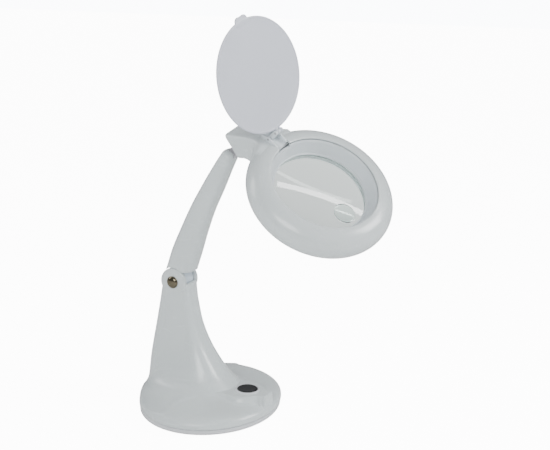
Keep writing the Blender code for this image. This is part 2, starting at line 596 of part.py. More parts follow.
# ---------------------------------------------------------------- head joint
def make_neck():
    """Fork on the tongue of the arm, its pin and washers, and the stem on which the head rolls."""
    inner = TONGUE_HALF_X + GAP + NECK_WASHER_T + GAP
    outer = inner + FORK_EAR_T
    y, n = HEAD_BACK, -HEAD_DROP
    plate_front, plate_back = BEARING_BACK + GAP, y - TONGUE_R - GAP
    fork = add_object("neck_fork", box_mesh((-outer, plate_front, n - 5.0), (outer, plate_back, n + 5.5)),
                      STEEL, TILT, (0, y, n))
    for side, label in ((-1, "left"), (1, "right")):
        foot = plate_back - 0.5
        lug_outline = arc((y, n), TONGUE_R, -75, 90, 10) + [(foot, n + 5.5), (foot, n - 5.0)]
        lug = prism_mesh(lug_outline, FORK_EAR_T / 2)
        lug.transform(Matrix.Translation((side * (inner + outer) / 2, 0, 0)))
        boolean(fork, add_object(f"join_fork_ear_{label}", lug, None, TILT), "UNION")
        washer = turned_mesh([(5.2, NECK_WASHER_T / 2), (5.2, -NECK_WASHER_T / 2),
                              (NECK_PIN_R + GAP, -NECK_WASHER_T / 2), (NECK_PIN_R + GAP, NECK_WASHER_T / 2)],
                             16)
        turn = Matrix.Rotation(math.pi / 2, 4, "Y")
        at = side * (TONGUE_HALF_X + GAP + NECK_WASHER_T / 2)
        washer.transform(Matrix.Translation((at, y, n)) @ turn)
        add_object(f"neck_washer_{label}", washer, RUBBER_BLACK, TILT)
    stem = cylinder_mesh(STEM_R, (0, plate_back - 0.5, n), (0, STEM_END, n), SMALL_ROUND)
    boolean(fork, add_object("join_stem", stem, None, TILT), "UNION")
    hole = cylinder_mesh(NECK_PIN_R + GAP, (-20, y, n), (20, y, n), 16)
    boolean(fork, add_object("cut_fork_hole", hole, None, TILT))
    bore = cylinder_mesh(2.2, (0, y, n), (0, STEM_END - 5.0, n), 12)
    boolean(fork, add_object("cut_stem_bore", bore, None, TILT))
    pin = cylinder_mesh(NECK_PIN_R, (-outer - 0.6, y, n), (outer + 0.6, y, n), 16)
    add_object("neck_pin", pin, STEEL, TILT, (0, y, n))
    half = CLIP_T / 2
    clip = turned_mesh([(CLIP_R, half), (CLIP_R, -half), (1.6, -half), (1.6, half)], SMALL_ROUND)
    clip.transform(Matrix.Translation((0, STEM_END - GAP - half, n)) @ Matrix.Rotation(math.pi / 2, 4, "X"))
    add_object("stem_clip", clip, STEEL, TILT)

    bearing = box_mesh((-HOOD_HALF_W + WALL + GAP, BEARING_FRONT, n - CLIP_R - 1.4),
                       (HOOD_HALF_W - WALL - GAP, BEARING_BACK, n + 12.5))
    block = add_object("neck_bearing", bearing, BOARD, HEAD)
    run = cylinder_mesh(STEM_R + GAP, (0, 70, n), (0, 120, n), SMALL_ROUND)
    boolean(block, add_object("cut_bearing_bore", run, None, HEAD))
    room = cylinder_mesh(CLIP_R + GAP, (0, 80, n), (0, STEM_END, n), SMALL_ROUND)
    boolean(block, add_object("cut_clip_room", room, None, HEAD))


# ---------------------------------------------------------------- lamp head
def ring_point(angle_deg, inset=0.0):
    """Point (radius, height) on the round section of the lamp ring."""
    t = math.radians(angle_deg)
    return (RING_MID_R + (RING_W - inset) * math.cos(t), RING_MID_N + (RING_H - inset) * math.sin(t))


def ring_angle(height, inset=0.0):
    """Angle round the ring section at which its outer lower side has this height."""
    return math.degrees(math.asin((height - RING_MID_N) / (RING_H - inset)))


def hood_outline(inset=0.0):
    """Side view of the hood behind the ring: its top runs down and back to an open mouth."""
    top_rear, lower = HOOD_REAR_TOP, HOOD_LOWER
    if not inset:
        return [top_rear, (113.0, -24.6), (103.0, -16.4), (94.0, -9.4), (86.0, -4.6), (76.0, -1.2),
                (68.0, -1.6), (68.0, -20.0), (76.0, -34.0), (83.0, -36.2), (89.0, -40.2), lower]
    return [(130.0, -42.0), (top_rear[0] - 1.4, -33.2), (111.6, -26.6), (101.6, -18.4), (92.6, -11.4),
            (85.0, -7.2), (74.0, -5.4), (70.0, -8.0), (70.0, -30.0), (82.0, -33.4), (88.0, -37.4),
            (92.8, -42.0), (98.0, -56.0)]


def make_head_shell():
    """Upper shell of the ring with its hood, and the pocket for the cover's link."""
    section = [ring_point(82 - 170 * k / 15) for k in range(16)]
    inner = [ring_point(82 - 170 * k / 12, WALL) for k in range(13)]
    core = OPENING_R - 6.1
    solid = [(core, section[0][1] - 0.9)] + section + [(core, section[-1][1])]
    cavity = [(core - 2.0, inner[0][1])] + inner + [(core - 2.0, inner[-1][1])]
    shell = add_object("head_shell", turned_mesh(solid), WHITE, HEAD)
    side = RAIL_HALF_GAP + RAIL_T + GAP
    steps = (
        ("UNION", "join_hood", prism_mesh(hood_outline(), HOOD_HALF_W)),
        ("DIFFERENCE", "cut_ring_cavity", turned_mesh(cavity)),
        ("DIFFERENCE", "cut_hood", prism_mesh(hood_outline(WALL), HOOD_HALF_W - WALL)),
        ("UNION", "join_pocket_boss", box_mesh((-side - 2.1, 53.0, POCKET_FLOOR - 3.1),
                                               (side + 2.1, RAIL_REAR - 1.0, POCKET_FLOOR + 0.4))),
        ("DIFFERENCE", "cut_opening", cylinder_mesh(OPENING_R, (0, 0, -45), (0, 0, 20), ROUND)),
        ("DIFFERENCE", "cut_pocket", box_mesh((-side, 50.0, POCKET_FLOOR), (side, RAIL_REAR + GAP, 12.0))),
    )
    for operation, name, bm in steps:
        boolean(shell, add_object(name, bm, None, HEAD), operation, "MANIFOLD")
    parting = ring_point(PARTING_DEG)[1]
    below = turned_mesh([(84.0, parting), (84.0, -60.0), (40.0, -60.0), (40.0, parting)])
    below_obj = add_object("cut_below_parting", below, None, HEAD)
    keep = HOOD_HALF_W + HOOD_FLANGE
    hood_box = box_mesh((-keep, 70.0, -70.0), (keep, 130.0, 10.0))
    boolean(below_obj, add_object("keep_hood", hood_box, None, HEAD))
    boolean(shell, below_obj, "DIFFERENCE", "MANIFOLD")


def make_optics():
    """Recess ring, main lens with its small inset, and the ring that keeps the lens in."""
    seat = LENS_TOP_N + GAP
    recess = [
        (OPENING_R - GAP, -0.6), (OPENING_R - GAP, -4.0), (RECESS_FOOT_R, -13.0),
        (RECESS_FOOT_R, RECESS_FOOT_N), (LENS_R + GAP, RECESS_FOOT_N), (LENS_R + GAP, seat),
        (LENS_VISIBLE_R, seat), (LENS_VISIBLE_R, seat + 1.3), (LENS_VISIBLE_R + 1.3, seat + 1.3),
        (OPENING_R - 0.7, -0.6),
    ]
    ring = add_object("recess_ring", turned_mesh(recess), INNER_WHITE, HEAD)
    relief = box_mesh((-RAIL_HALF_GAP - RAIL_T - GAP, 50.0, POCKET_FLOOR),
                      (RAIL_HALF_GAP + RAIL_T + GAP, 70.0, 12.0))
    boolean(ring, add_object("cut_recess_pocket", relief, None, HEAD))

    rim = 0.94 * LENS_R
    bottom = LENS_TOP_N - LENS_EDGE_T
    crown = [(rim * k / 4, LENS_CROWN * (1 - (k / 4) ** 2)) for k in range(5)]
    profile = [(r, LENS_TOP_N + rise) for r, rise in crown] + [(LENS_R, LENS_TOP_N), (LENS_R, bottom)]
    profile += [(r, bottom - rise) for r, rise in reversed(crown)]
    lens = add_object("main_lens", turned_mesh(profile, closed=False), LENS_GLASS, HEAD)
    local_top = LENS_TOP_N + LENS_CROWN * (1 - (INSET_FORWARD / rim) ** 2)
    floor = local_top - INSET_DEEP
    well = cylinder_mesh(INSET_R + GAP, (0, -INSET_FORWARD, floor), (0, -INSET_FORWARD, 0), 32)
    boolean(lens, add_object("cut_inset_well", well, None, HEAD))
    dome = [(0.0, floor + GAP), (INSET_R, floor + GAP), (INSET_R, local_top),
            (INSET_R * 0.75, local_top + INSET_CROWN * 0.55), (INSET_R * 0.4, local_top + INSET_CROWN * 0.9),
            (0.0, local_top + INSET_CROWN)]
    inset = turned_mesh(dome, 32, closed=False)
    inset.transform(Matrix.Translation((0, -INSET_FORWARD, 0)))
    add_object("inset_lens", inset, LENS_GLASS, HEAD)
    low = bottom - GAP
    flange, under = RECESS_FOOT_N - GAP, RECESS_FOOT_N - GAP - 1.7
    keeper = [(LENS_R, low), (LENS_R, flange), (RECESS_FOOT_R, flange), (RECESS_FOOT_R, under),
              (LENS_VISIBLE_R + 0.6, under), (LENS_VISIBLE_R + 0.6, low)]
    retainer = add_object("lens_retainer", turned_mesh(keeper), WHITE, HEAD)
    screw_r = (LENS_R + GAP + RECESS_FOOT_R) / 2
    for index in range(1, 5):
        a = math.radians(90 * index - 45)
        x, y = screw_r * math.cos(a), screw_r * math.sin(a)
        head = cylinder_mesh(1.9, (x, y, under - GAP - 1.2), (x, y, under - GAP), 14)
        shank = cylinder_mesh(0.9, (x, y, under - 1.0), (x, y, RECESS_FOOT_N + 6.0), 10)
        screw = add_object(f"lens_screw_{index}", head, STEEL, HEAD)
        boolean(screw, add_object(f"join_lens_shank_{index}", shank, None, HEAD), "UNION")
        hole = cylinder_mesh(1.2, (x, y, under - 5.0), (x, y, RECESS_FOOT_N + 6.0 + GAP), 10)
        hole_cut = add_object(f"cut_lens_screw_{index}", hole, None, HEAD)
        boolean(retainer, hole_cut)
        boolean(ring, hole_cut)


def make_lamp():
    """Reflector, round tube with its cap and socket, clips, and the lower ring that closes the head."""
    tray = [(57.6, -12.2), (61.6, -8.6), (70.0, -8.6), (74.9, -13.0), (76.1, -20.0),
            (75.2, -20.0), (74.0, -13.6), (69.6, -9.6), (62.0, -9.6), (58.2, -13.0)]
    add_object("reflector", turned_mesh(tray), INNER_WHITE, HEAD)

    start = 90.0 + TUBE_GAP_DEG / 2
    path = [(x, y, TUBE_N) for x, y in arc((0.0, 0.0), TUBE_RING_R, start, start + 360.0 - TUBE_GAP_DEG, 33)]
    add_object("lamp_tube", tube_mesh(path, TUBE_R), TUBE_WHITE, HEAD)
    half_cap = TUBE_RING_R * math.sin(math.radians(TUBE_GAP_DEG / 2)) - 2.4
    cap = add_object("tube_cap", box_mesh((-half_cap, 60.0, TUBE_N - 5.6), (half_cap, 73.0, TUBE_N + 6.4)),
                     PAN_WHITE, HEAD)
    bevel(cap, 1.2)
    add_object("lamp_socket", box_mesh((-8, 62.5, TUBE_N + 6.8), (8, 69.0, -10.0)), PAN_WHITE, HEAD)
    for index, degrees in enumerate((-90.0, 30.0, 150.0), 1):
        jaw = arc((TUBE_RING_R, TUBE_N), TUBE_R + 1.3, -12, 192, 15)
        jaw += arc((TUBE_RING_R, TUBE_N), TUBE_R + 0.35, 192, -12, 15)
        clip = prism_mesh(jaw, 3.0, axis="Y")
        clip.transform(Matrix.Rotation(math.radians(degrees), 4, "Z"))
        holder = add_object(f"tube_clip_{index}", clip, STEEL, HEAD)
        foot = box_mesh((TUBE_RING_R - 2.5, -3.0, TUBE_N + TUBE_R + 0.8), (TUBE_RING_R + 2.5, 3.0, -9.9))
        foot.transform(Matrix.Rotation(math.radians(degrees), 4, "Z"))
        boolean(holder, add_object(f"join_clip_foot_{index}", foot, None, HEAD), "UNION")

    count, edge = 4, ring_point(PARTING_DEG)[1] - GAP
    start, end = ring_angle(edge), ring_angle(edge, WALL)
    outer = [ring_point(start + (LIP_DEG - start) * k / count) for k in range(count + 1)]
    inner = [ring_point(LIP_DEG + (end - LIP_DEG) * k / count, WALL) for k in range(count + 1)]
    lower = add_object("lower_ring", turned_mesh(outer + inner), WHITE, HEAD)
    side = HOOD_HALF_W + HOOD_FLANGE + GAP
    clear = box_mesh((-side, 60.0, -60.0), (side, 130.0, 5.0))
    boolean(lower, add_object("cut_lower_ring_neck", clear, None, HEAD))


# ---------------------------------------------------------------- lens cover
def make_hinge():
    """Bracket in the pocket of the head, two-pin link, and the round cover with its lugs and tab."""
    y, n = LINK_LOWER
    floor = POCKET_FLOOR + GAP
    plate = box_mesh((-RAIL_HALF_GAP - RAIL_T, RAIL_FRONT, floor),
                     (RAIL_HALF_GAP + RAIL_T, RAIL_REAR, floor + 1.0))
    bracket = add_object("hinge_bracket", plate, INNER_WHITE, HEAD)
    rail_x = RAIL_HALF_GAP + RAIL_T / 2
    rail = [(RAIL_FRONT, floor), (RAIL_REAR, floor), (RAIL_REAR, n)] + arc((y, n), 3.0, 40, 140, 5)
    rail += [(RAIL_FRONT + 3.0, 2.4), (RAIL_FRONT, 0.4)]
    for side, label in ((-1, "left"), (1, "right")):
        bm = prism_mesh(rail, RAIL_T / 2)
        bm.transform(Matrix.Translation((side * rail_x, 0, 0)))
        boolean(bracket, add_object(f"join_rail_{label}", bm, None, HEAD), "UNION")
        ear = prism_mesh(arc((y, n), 2.2, 0, 180, 9) + [(y - 2.2, floor), (y + 2.2, floor)], LINK_EAR_HALF)
        ear.transform(Matrix.Translation((side * LINK_EAR_X, 0, 0)))
        boolean(bracket, add_object(f"join_bracket_ear_{label}", ear, None, HEAD), "UNION")
    hole = cylinder_mesh(LINK_PIN_R + GAP, (-20, y, n), (20, y, n), 12)
    boolean(bracket, add_object("cut_bracket_hole", hole, None, HEAD))
    reach = RAIL_HALF_GAP + RAIL_T
    add_object("link_pin_lower", cylinder_mesh(LINK_PIN_R, (-reach, y, n), (reach, y, n), 12), STEEL, HEAD)

    # Link, drawn upright from its lower pin
    r, top = LINK_KNUCKLE_R, LINK_L
    side_view = arc((0, 0), r, 180, 360, 9) + arc((0, top), r, 0, 180, 9)
    link = add_object("hinge_link", prism_mesh(side_view, LINK_HALF_W), INNER_WHITE, LINK)
    for side, label in ((-1, "left"), (1, "right")):
        x0, x1 = side * LINK_EAR_X - LINK_SLOT_HALF, side * LINK_EAR_X + LINK_SLOT_HALF
        spans = ((-5.0, 3.0), (top / 2 - 1.4, top / 2 + 1.4), (top - 3.0, top + 5.0))
        for k, (low, high) in enumerate(spans):
            window = box_mesh((x0, -5, low), (x1, 5, high))
            boolean(link, add_object(f"cut_link_slot_{label}_{k}", window, None, LINK))
    for k, height in enumerate((0.0, top)):
        bore = cylinder_mesh(LINK_PIN_R + GAP, (-20, 0, height), (20, 0, height), 12)
        boolean(link, add_object(f"cut_link_bore_{k}", bore, None, LINK))

    # Cover, drawn upright from its pin, with its inner face to the front
    middle = LUG_L + COVER_R
    half = COVER_T / 2
    disc = turned_mesh([(0.0, -half), (COVER_R - 0.6, -half), (COVER_R, 0.5 - half), (COVER_R, half - 0.4),
                        (COVER_R - 0.8, half), (0.0, half)], closed=False)
    disc.transform(Matrix.Translation((0, 0, middle)) @ Matrix.Rotation(math.radians(-90), 4, "X"))
    cover = add_object("lens_cover", disc, COVER_WHITE, COVER)
    tab = prism_mesh(
        [(-8.0, middle + COVER_R - 4.0), (8.0, middle + COVER_R - 4.0), (7.4, middle + COVER_R + 3.4),
         (3.4, middle + COVER_R + 4.4), (0.0, middle + COVER_R + 1.6), (-3.4, middle + COVER_R + 4.4),
         (-7.4, middle + COVER_R + 3.4)], COVER_T / 2 - 0.1, axis="Y")
    boolean(cover, add_object("join_cover_tab", tab, None, COVER), "UNION")
    for side, label in ((-1, "left"), (1, "right")):
        lug = prism_mesh(arc((0, 0), 2.2, 180, 360, 9) + [(1.0, LUG_L + 3.0), (-1.0, LUG_L + 3.0)],
                         LINK_EAR_HALF)
        lug.transform(Matrix.Translation((side * LINK_EAR_X, 0, 0)))
        boolean(cover, add_object(f"join_cover_lug_{label}", lug, None, COVER), "UNION")
    bore = cylinder_mesh(LINK_PIN_R + GAP, (-20, 0, 0), (20, 0, 0), 12)
    boolean(cover, add_object("cut_cover_bore", bore, None, COVER))
    pin = cylinder_mesh(LINK_PIN_R, (-LINK_HALF_W, 0, top), (LINK_HALF_W, 0, top), 12)
    add_object("link_pin_upper", pin, STEEL, LINK)


# ---------------------------------------------------------------- build
clear_scene()
PARTS = new_collection("magnifying_lamp")
CUTTERS = new_collection("cutters")

WHITE = new_material("white_gloss", (0.80, 0.84, 0.84), 0.28)
PAN_WHITE = new_material("pan_white", (0.82, 0.83, 0.85), 0.35)
INNER_WHITE = new_material("inner_white", (0.83, 0.87, 0.89), 0.35)
COVER_WHITE = new_material("cover_white", (0.78, 0.80, 0.88), 0.40)
KNUCKLE_BLUE = new_material("knuckle_pale", (0.74, 0.80, 0.87), 0.35)
BLACK = new_material("button_black", (0.010, 0.010, 0.012), 0.30)
RUBBER_BLACK = new_material("black_rubber", (0.02, 0.02, 0.02), 0.75)
RUBBER = new_material("grey_foam", (0.06, 0.06, 0.065), 0.85)
STEEL = new_material("zinc_steel", (0.60, 0.60, 0.62), 0.35, 1.0)
DARK_CHROME = new_material("dark_chrome", (0.16, 0.14, 0.09), 0.12, 1.0)
IRON = new_material("cast_iron", (0.10, 0.10, 0.11), 0.70, 1.0)
BOARD = new_material("grey_plastic", (0.35, 0.36, 0.38), 0.50)
LENS_GLASS = new_material("lens_clear", (0.80, 0.90, 0.87), 0.04, 0.0, 0.95)
TUBE_WHITE = new_material("tube_white", (0.92, 0.93, 0.92), 0.25)

BASE = new_empty("base_frame", mm(0, 0, 0))
BUTTON_AXIS = new_empty("button_axis", mm(0, 0, 0), BASE)
ARM = new_empty("arm_axis", mm(0, 0, 0), BASE)

TILT_ORIGIN = new_empty("tilt_axis", mm(0, TILT_Y, TILT_Z), ARM, (math.radians(TILT_DEG), 0, 0))
TILT = new_empty("tilt_frame", mm(0, -HEAD_BACK, HEAD_DROP), TILT_ORIGIN)
ROLL_ORIGIN = new_empty("roll_axis", mm(0, 0, 0), TILT_ORIGIN, (0, math.radians(-ROLL_DEG), 0))
HEAD = new_empty("head_frame", mm(0, -HEAD_BACK, HEAD_DROP), ROLL_ORIGIN)
LINK = new_empty("link_axis", mm(0, *LINK_LOWER), HEAD, (math.radians(-LINK_LEAN_DEG), 0, 0))
COVER = new_empty("cover_axis", mm(0, 0, LINK_L), LINK, (math.radians(LINK_LEAN_DEG - COVER_LEAN_DEG), 0, 0))

make_base_shell()
make_base_screws(*make_pan_and_pad())
make_base_contents()
make_switch()
make_pivot_pieces()
make_arm()
make_neck()
make_head_shell()
make_optics()
make_lamp()
make_hinge()
bpy.context.view_layer.update()
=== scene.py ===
# %% [markdown]
# # A desk magnifying lamp
# The lamp stands on a weighted oval base. A column grows out of the base, a curved arm folds on the
# column, and a ring-shaped head tilts and rolls at the tip of the arm. The head carries a lens, a ring
# tube and a cover on a small two-pin link. The engineering model is already packed, with every piece
# and joint in its place. This lesson loads it and makes the fine surfaces and finishes around it.

import json
import math

import bmesh
import bpy
import numpy as np
from mathutils import Matrix, Vector


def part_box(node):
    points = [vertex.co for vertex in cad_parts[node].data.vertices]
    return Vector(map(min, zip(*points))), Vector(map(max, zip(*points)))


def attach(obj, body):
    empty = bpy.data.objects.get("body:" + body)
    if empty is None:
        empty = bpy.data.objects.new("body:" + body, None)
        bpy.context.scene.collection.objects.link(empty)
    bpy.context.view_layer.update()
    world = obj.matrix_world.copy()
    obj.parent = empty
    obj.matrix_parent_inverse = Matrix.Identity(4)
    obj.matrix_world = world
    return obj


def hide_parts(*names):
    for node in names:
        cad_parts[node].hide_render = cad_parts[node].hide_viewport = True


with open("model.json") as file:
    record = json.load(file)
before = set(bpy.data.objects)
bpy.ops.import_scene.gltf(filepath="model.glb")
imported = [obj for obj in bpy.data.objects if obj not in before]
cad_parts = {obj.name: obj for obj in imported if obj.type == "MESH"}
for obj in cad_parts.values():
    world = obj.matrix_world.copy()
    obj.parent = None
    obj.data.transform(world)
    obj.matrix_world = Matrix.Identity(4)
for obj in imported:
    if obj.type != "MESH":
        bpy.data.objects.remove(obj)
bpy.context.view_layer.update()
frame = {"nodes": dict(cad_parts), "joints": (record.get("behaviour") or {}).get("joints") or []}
joints = {joint["name"]: joint for joint in frame["joints"]}
MM = 0.001

# %% [markdown]
# ## Camera, floor and light
# The camera could be aimed with a constraint, but a written-out basis is easier to check: three unit
# vectors for right, up and forward. The lens is long, so that the round base and head keep their
# shape. A small lens shift moves the lamp in the frame without turning the camera.

# %% Camera
CAMERA_PLACE = Vector((-0.99915, -0.59601, 0.52637))
CAMERA_TURN, CAMERA_DIP = math.radians(30.0), math.radians(15.8)

camera_data = bpy.data.cameras.new("lamp_camera")
camera_data.lens, camera_data.sensor_width = 69.785, 36.0
camera_data.shift_x, camera_data.shift_y = 0.0908, 0.0361
camera = bpy.data.objects.new("lamp_camera", camera_data)
bpy.context.scene.collection.objects.link(camera)
forward = Vector((math.cos(CAMERA_TURN) * math.cos(CAMERA_DIP),
                  math.sin(CAMERA_TURN) * math.cos(CAMERA_DIP), -math.sin(CAMERA_DIP)))
right = forward.cross(Vector((0, 0, 1))).normalized()
upward = right.cross(forward)
camera_turn = Matrix((right, upward, -forward)).transposed().to_4x4()
camera.matrix_world = Matrix.Translation(CAMERA_PLACE) @ camera_turn
bpy.context.scene.camera = camera
print("camera looks along", [round(v, 3) for v in forward])

# %% [markdown]
# A white world gives the open look of a light tent. Area lamps then shape the form: a broad key from
# the front right, a softer one from the left, a weak one from behind, and a narrow strip overhead that
# the lens and the glossy ring can reflect. Every lamp is aimed at the middle of the object. A backdrop
# this bright would flood the object with light and hide its form. So the world and the floor have one
# strength where they are seen, a lower one through glass, and their lowest as light on the object.

# %% Floor, world and lamps
def aimed_lamp(name, place, size, power, tint=(1.0, 1.0, 1.0), target=(0.0, -0.06, 0.22)):
    """Rectangular lamp at a place in metres, turned so that its face looks at the target."""
    data = bpy.data.lights.new(name, "AREA")
    data.shape, data.size, data.size_y = "RECTANGLE", *size
    data.energy, data.color = power, tint
    lamp = bpy.data.objects.new(name, data)
    lamp.location = place
    lamp.rotation_euler = (Vector(target) - Vector(place)).to_track_quat("-Z", "Y").to_euler()
    bpy.context.scene.collection.objects.link(lamp)


world = bpy.data.worlds.new("light_tent")
world.use_nodes = True
sky = world.node_tree.nodes["Background"]
sky.inputs["Color"].default_value = (0.93, 0.96, 1.0, 1.0)
bpy.context.scene.world = world


def backdrop_strength(tree, seen, through, lighting):
    """Strength for the camera's own rays, for rays that came through glass, and for all others."""
    rays = tree.nodes.new("ShaderNodeLightPath")
    total = None
    for output, share in (("Is Camera Ray", seen - lighting), ("Is Transmission Ray", through - lighting)):
        part = tree.nodes.new("ShaderNodeMath")
        part.operation = "MULTIPLY_ADD"
        part.inputs[1].default_value, part.inputs[2].default_value = share, lighting
        tree.links.new(rays.outputs[output], part.inputs[0])
        if total is not None:
            tree.links.new(total, part.inputs[2])
        total = part.outputs[0]
    return total


BACKDROP_WHITE, SKY_THROUGH_GLASS, FLOOR_THROUGH_GLASS, SKY_FILL = 12.0, 1.3, 0.7, 0.30
sky_strength = backdrop_strength(world.node_tree, BACKDROP_WHITE, SKY_THROUGH_GLASS, SKY_FILL)
world.node_tree.links.new(sky_strength, sky.inputs["Strength"])
aimed_lamp("key_right", (0.45, -1.35, 1.05), (0.6, 0.6), 20.0)
aimed_lamp("left_soft", (-1.25, -0.35, 0.75), (0.7, 0.5), 12.0)
aimed_lamp("rear_left", (-0.5, 1.1, 0.9), (0.4, 0.8), 6.0)
aimed_lamp("top_strip", (0.45, -0.75, 1.55), (0.05, 0.8), 3.0)

floor_mesh = bpy.data.meshes.new("floor")
FLOOR_HALF, FLOOR_DROP = 6.0, 0.0004
floor_mesh.from_pydata([(-FLOOR_HALF, -FLOOR_HALF, -FLOOR_DROP), (FLOOR_HALF, -FLOOR_HALF, -FLOOR_DROP),
                        (FLOOR_HALF, FLOOR_HALF, -FLOOR_DROP), (-FLOOR_HALF, FLOOR_HALF, -FLOOR_DROP)],
                       [], [(0, 1, 2, 3)])
floor = bpy.data.objects.new("floor", floor_mesh)
bpy.context.scene.collection.objects.link(floor)
floor_finish = bpy.data.materials.new("floor_paper")
floor_finish.use_nodes = True
floor_shader = floor_finish.node_tree.nodes["Principled BSDF"]
floor_shader.inputs["Base Color"].default_value = (0.94, 0.94, 0.94, 1.0)
floor_shader.inputs["Roughness"].default_value = 0.8
floor_shader.inputs["Emission Color"].default_value = (1.0, 1.0, 1.0, 1.0)
floor_strength = backdrop_strength(floor_finish.node_tree, BACKDROP_WHITE, FLOOR_THROUGH_GLASS, 0.0)
floor_finish.node_tree.links.new(floor_strength, floor_shader.inputs["Emission Strength"])
floor_mesh.materials.append(floor_finish)

# %% [markdown]
# ## Finishes
# Moulded plastic is never one flat colour. Under a lamp it shows a very fine grain left by the tool, a
# slow drift of tone where the resin flowed, and a thin film of dust on what faces up. Each of these
# could be painted, but three small shader groups give them to every plastic at its own strength. The
# groups put out only masks and heights. The shader itself stays in each material.

# %% Shader groups for grain, flow and dust
def new_group(name, inputs, outputs):
    """Empty shader group with float inputs (name, value) and float outputs."""
    group = bpy.data.node_groups.new(name, "ShaderNodeTree")
    for label, value in inputs:
        socket = group.interface.new_socket(label, in_out="INPUT", socket_type="NodeSocketFloat")
        socket.default_value = value
    for label in outputs:
        group.interface.new_socket(label, in_out="OUTPUT", socket_type="NodeSocketFloat")
    return group, group.nodes.new("NodeGroupInput"), group.nodes.new("NodeGroupOutput")


def add_node(tree, kind, **values):
    """Shader node whose inputs are set by name, with spaces written as underscores."""
    node = tree.nodes.new(kind)
    for label, value in values.items():
        if label == "operation":
            node.operation = value
        else:
            node.inputs[label.replace("_", " ")].default_value = value
    return node


def build_moulded():
    """Grain: fine even noise. Flow: slow noise stretched down the part, from 0 to 1."""
    group, given, out = new_group("moulded_surface", [("Grain Scale", 2600.0), ("Flow Scale", 14.0)],
                                  ["Grain", "Flow"])
    place = group.nodes.new("ShaderNodeTexCoord")
    grain = add_node(group, "ShaderNodeTexNoise", Detail=3.0, Roughness=0.6)
    stretch = group.nodes.new("ShaderNodeMapping")
    stretch.inputs["Scale"].default_value = (1.0, 1.0, 0.45)
    flow = add_node(group, "ShaderNodeTexNoise", Detail=2.0, Roughness=0.45, Distortion=0.6)
    link = group.links.new
    link(place.outputs["Object"], grain.inputs["Vector"])
    link(place.outputs["Object"], stretch.inputs["Vector"])
    link(stretch.outputs["Vector"], flow.inputs["Vector"])
    link(given.outputs["Grain Scale"], grain.inputs["Scale"])
    link(given.outputs["Flow Scale"], flow.inputs["Scale"])
    link(grain.outputs["Fac"], out.inputs["Grain"])
    link(flow.outputs["Fac"], out.inputs["Flow"])
    return group


def build_dust():
    """Dust: how far the surface faces up, raised to a power, times a patchy noise."""
    group, given, out = new_group("settled_dust", [("Patch Scale", 55.0), ("Reach", 3.0)], ["Dust"])
    place = group.nodes.new("ShaderNodeTexCoord")
    facing = group.nodes.new("ShaderNodeNewGeometry")
    split = group.nodes.new("ShaderNodeSeparateXYZ")
    above = add_node(group, "ShaderNodeMath", operation="MAXIMUM")
    power = add_node(group, "ShaderNodeMath", operation="POWER")
    patch = add_node(group, "ShaderNodeTexNoise", Detail=6.0, Roughness=0.7)
    both = add_node(group, "ShaderNodeMath", operation="MULTIPLY")
    above.inputs[1].default_value = 0.0
    link = group.links.new
    link(facing.outputs["Normal"], split.inputs["Vector"])
    link(split.outputs["Z"], above.inputs[0])
    link(above.outputs[0], power.inputs[0])
    link(given.outputs["Reach"], power.inputs[1])
    link(place.outputs["Object"], patch.inputs["Vector"])
    link(given.outputs["Patch Scale"], patch.inputs["Scale"])
    link(power.outputs[0], both.inputs[0])
    link(patch.outputs["Fac"], both.inputs[1])
    link(both.outputs[0], out.inputs["Dust"])
    return group


def build_rub():
    """Rub: short crossing scuffs, from two stretched noises kept only near their middle value."""
    group, given, out = new_group("fine_rub", [("Scale", 120.0), ("Width", 0.03)], ["Rub"])
    place = group.nodes.new("ShaderNodeTexCoord")
    masks = []
    for turn in (0.5, -0.9):
        aim = group.nodes.new("ShaderNodeMapping")
        aim.inputs["Rotation"].default_value = (0.4 * turn, 0.3, turn)
        aim.inputs["Scale"].default_value = (1.0, 0.12, 0.6)
        noise = add_node(group, "ShaderNodeTexNoise", Detail=2.0, Roughness=0.5)
        away = add_node(group, "ShaderNodeMath", operation="SUBTRACT")
        away.inputs[1].default_value = 0.5
        size = add_node(group, "ShaderNodeMath", operation="ABSOLUTE")
        near = add_node(group, "ShaderNodeMath", operation="LESS_THAN")
        group.links.new(place.outputs["Object"], aim.inputs["Vector"])
        group.links.new(aim.outputs["Vector"], noise.inputs["Vector"])
        group.links.new(given.outputs["Scale"], noise.inputs["Scale"])
        group.links.new(noise.outputs["Fac"], away.inputs[0])
        group.links.new(away.outputs[0], size.inputs[0])
        group.links.new(size.outputs[0], near.inputs[0])
        group.links.new(given.outputs["Width"], near.inputs[1])
        masks.append(near)
    both = add_node(group, "ShaderNodeMath", operation="MULTIPLY")
    group.links.new(masks[0].outputs[0], both.inputs[0])
    group.links.new(masks[1].outputs[0], both.inputs[1])
    group.links.new(both.outputs[0], out.inputs["Rub"])
    return group


MOULDED, DUST, RUB = build_moulded(), build_dust(), build_rub()
print("shader groups:", MOULDED.name, DUST.name, RUB.name)

# %% [markdown]
# One maker function serves all the opaque finishes. The tone drifts between two close colours along
# the flow mask, the dust mask veils it with pale grey, and roughness follows flow, rub and dust
# together. Grain goes to a Bump node with a very small distance, because the real relief is microns.

# %% Opaque finishes
DUST_TONE, DUST_ROUGH, RUB_ROUGH, COAT_ROUGH, FLOW_SCALE = (0.62, 0.62, 0.60), 0.10, 0.06, 0.08, 14.0


def group_node(tree, group, **values):
    """Copy of a shader group in a material, with inputs set by name as for any other node."""
    node = tree.nodes.new("ShaderNodeGroup")
    node.node_tree = group
    for label, value in values.items():
        node.inputs[label.replace("_", " ")].default_value = value
    return node


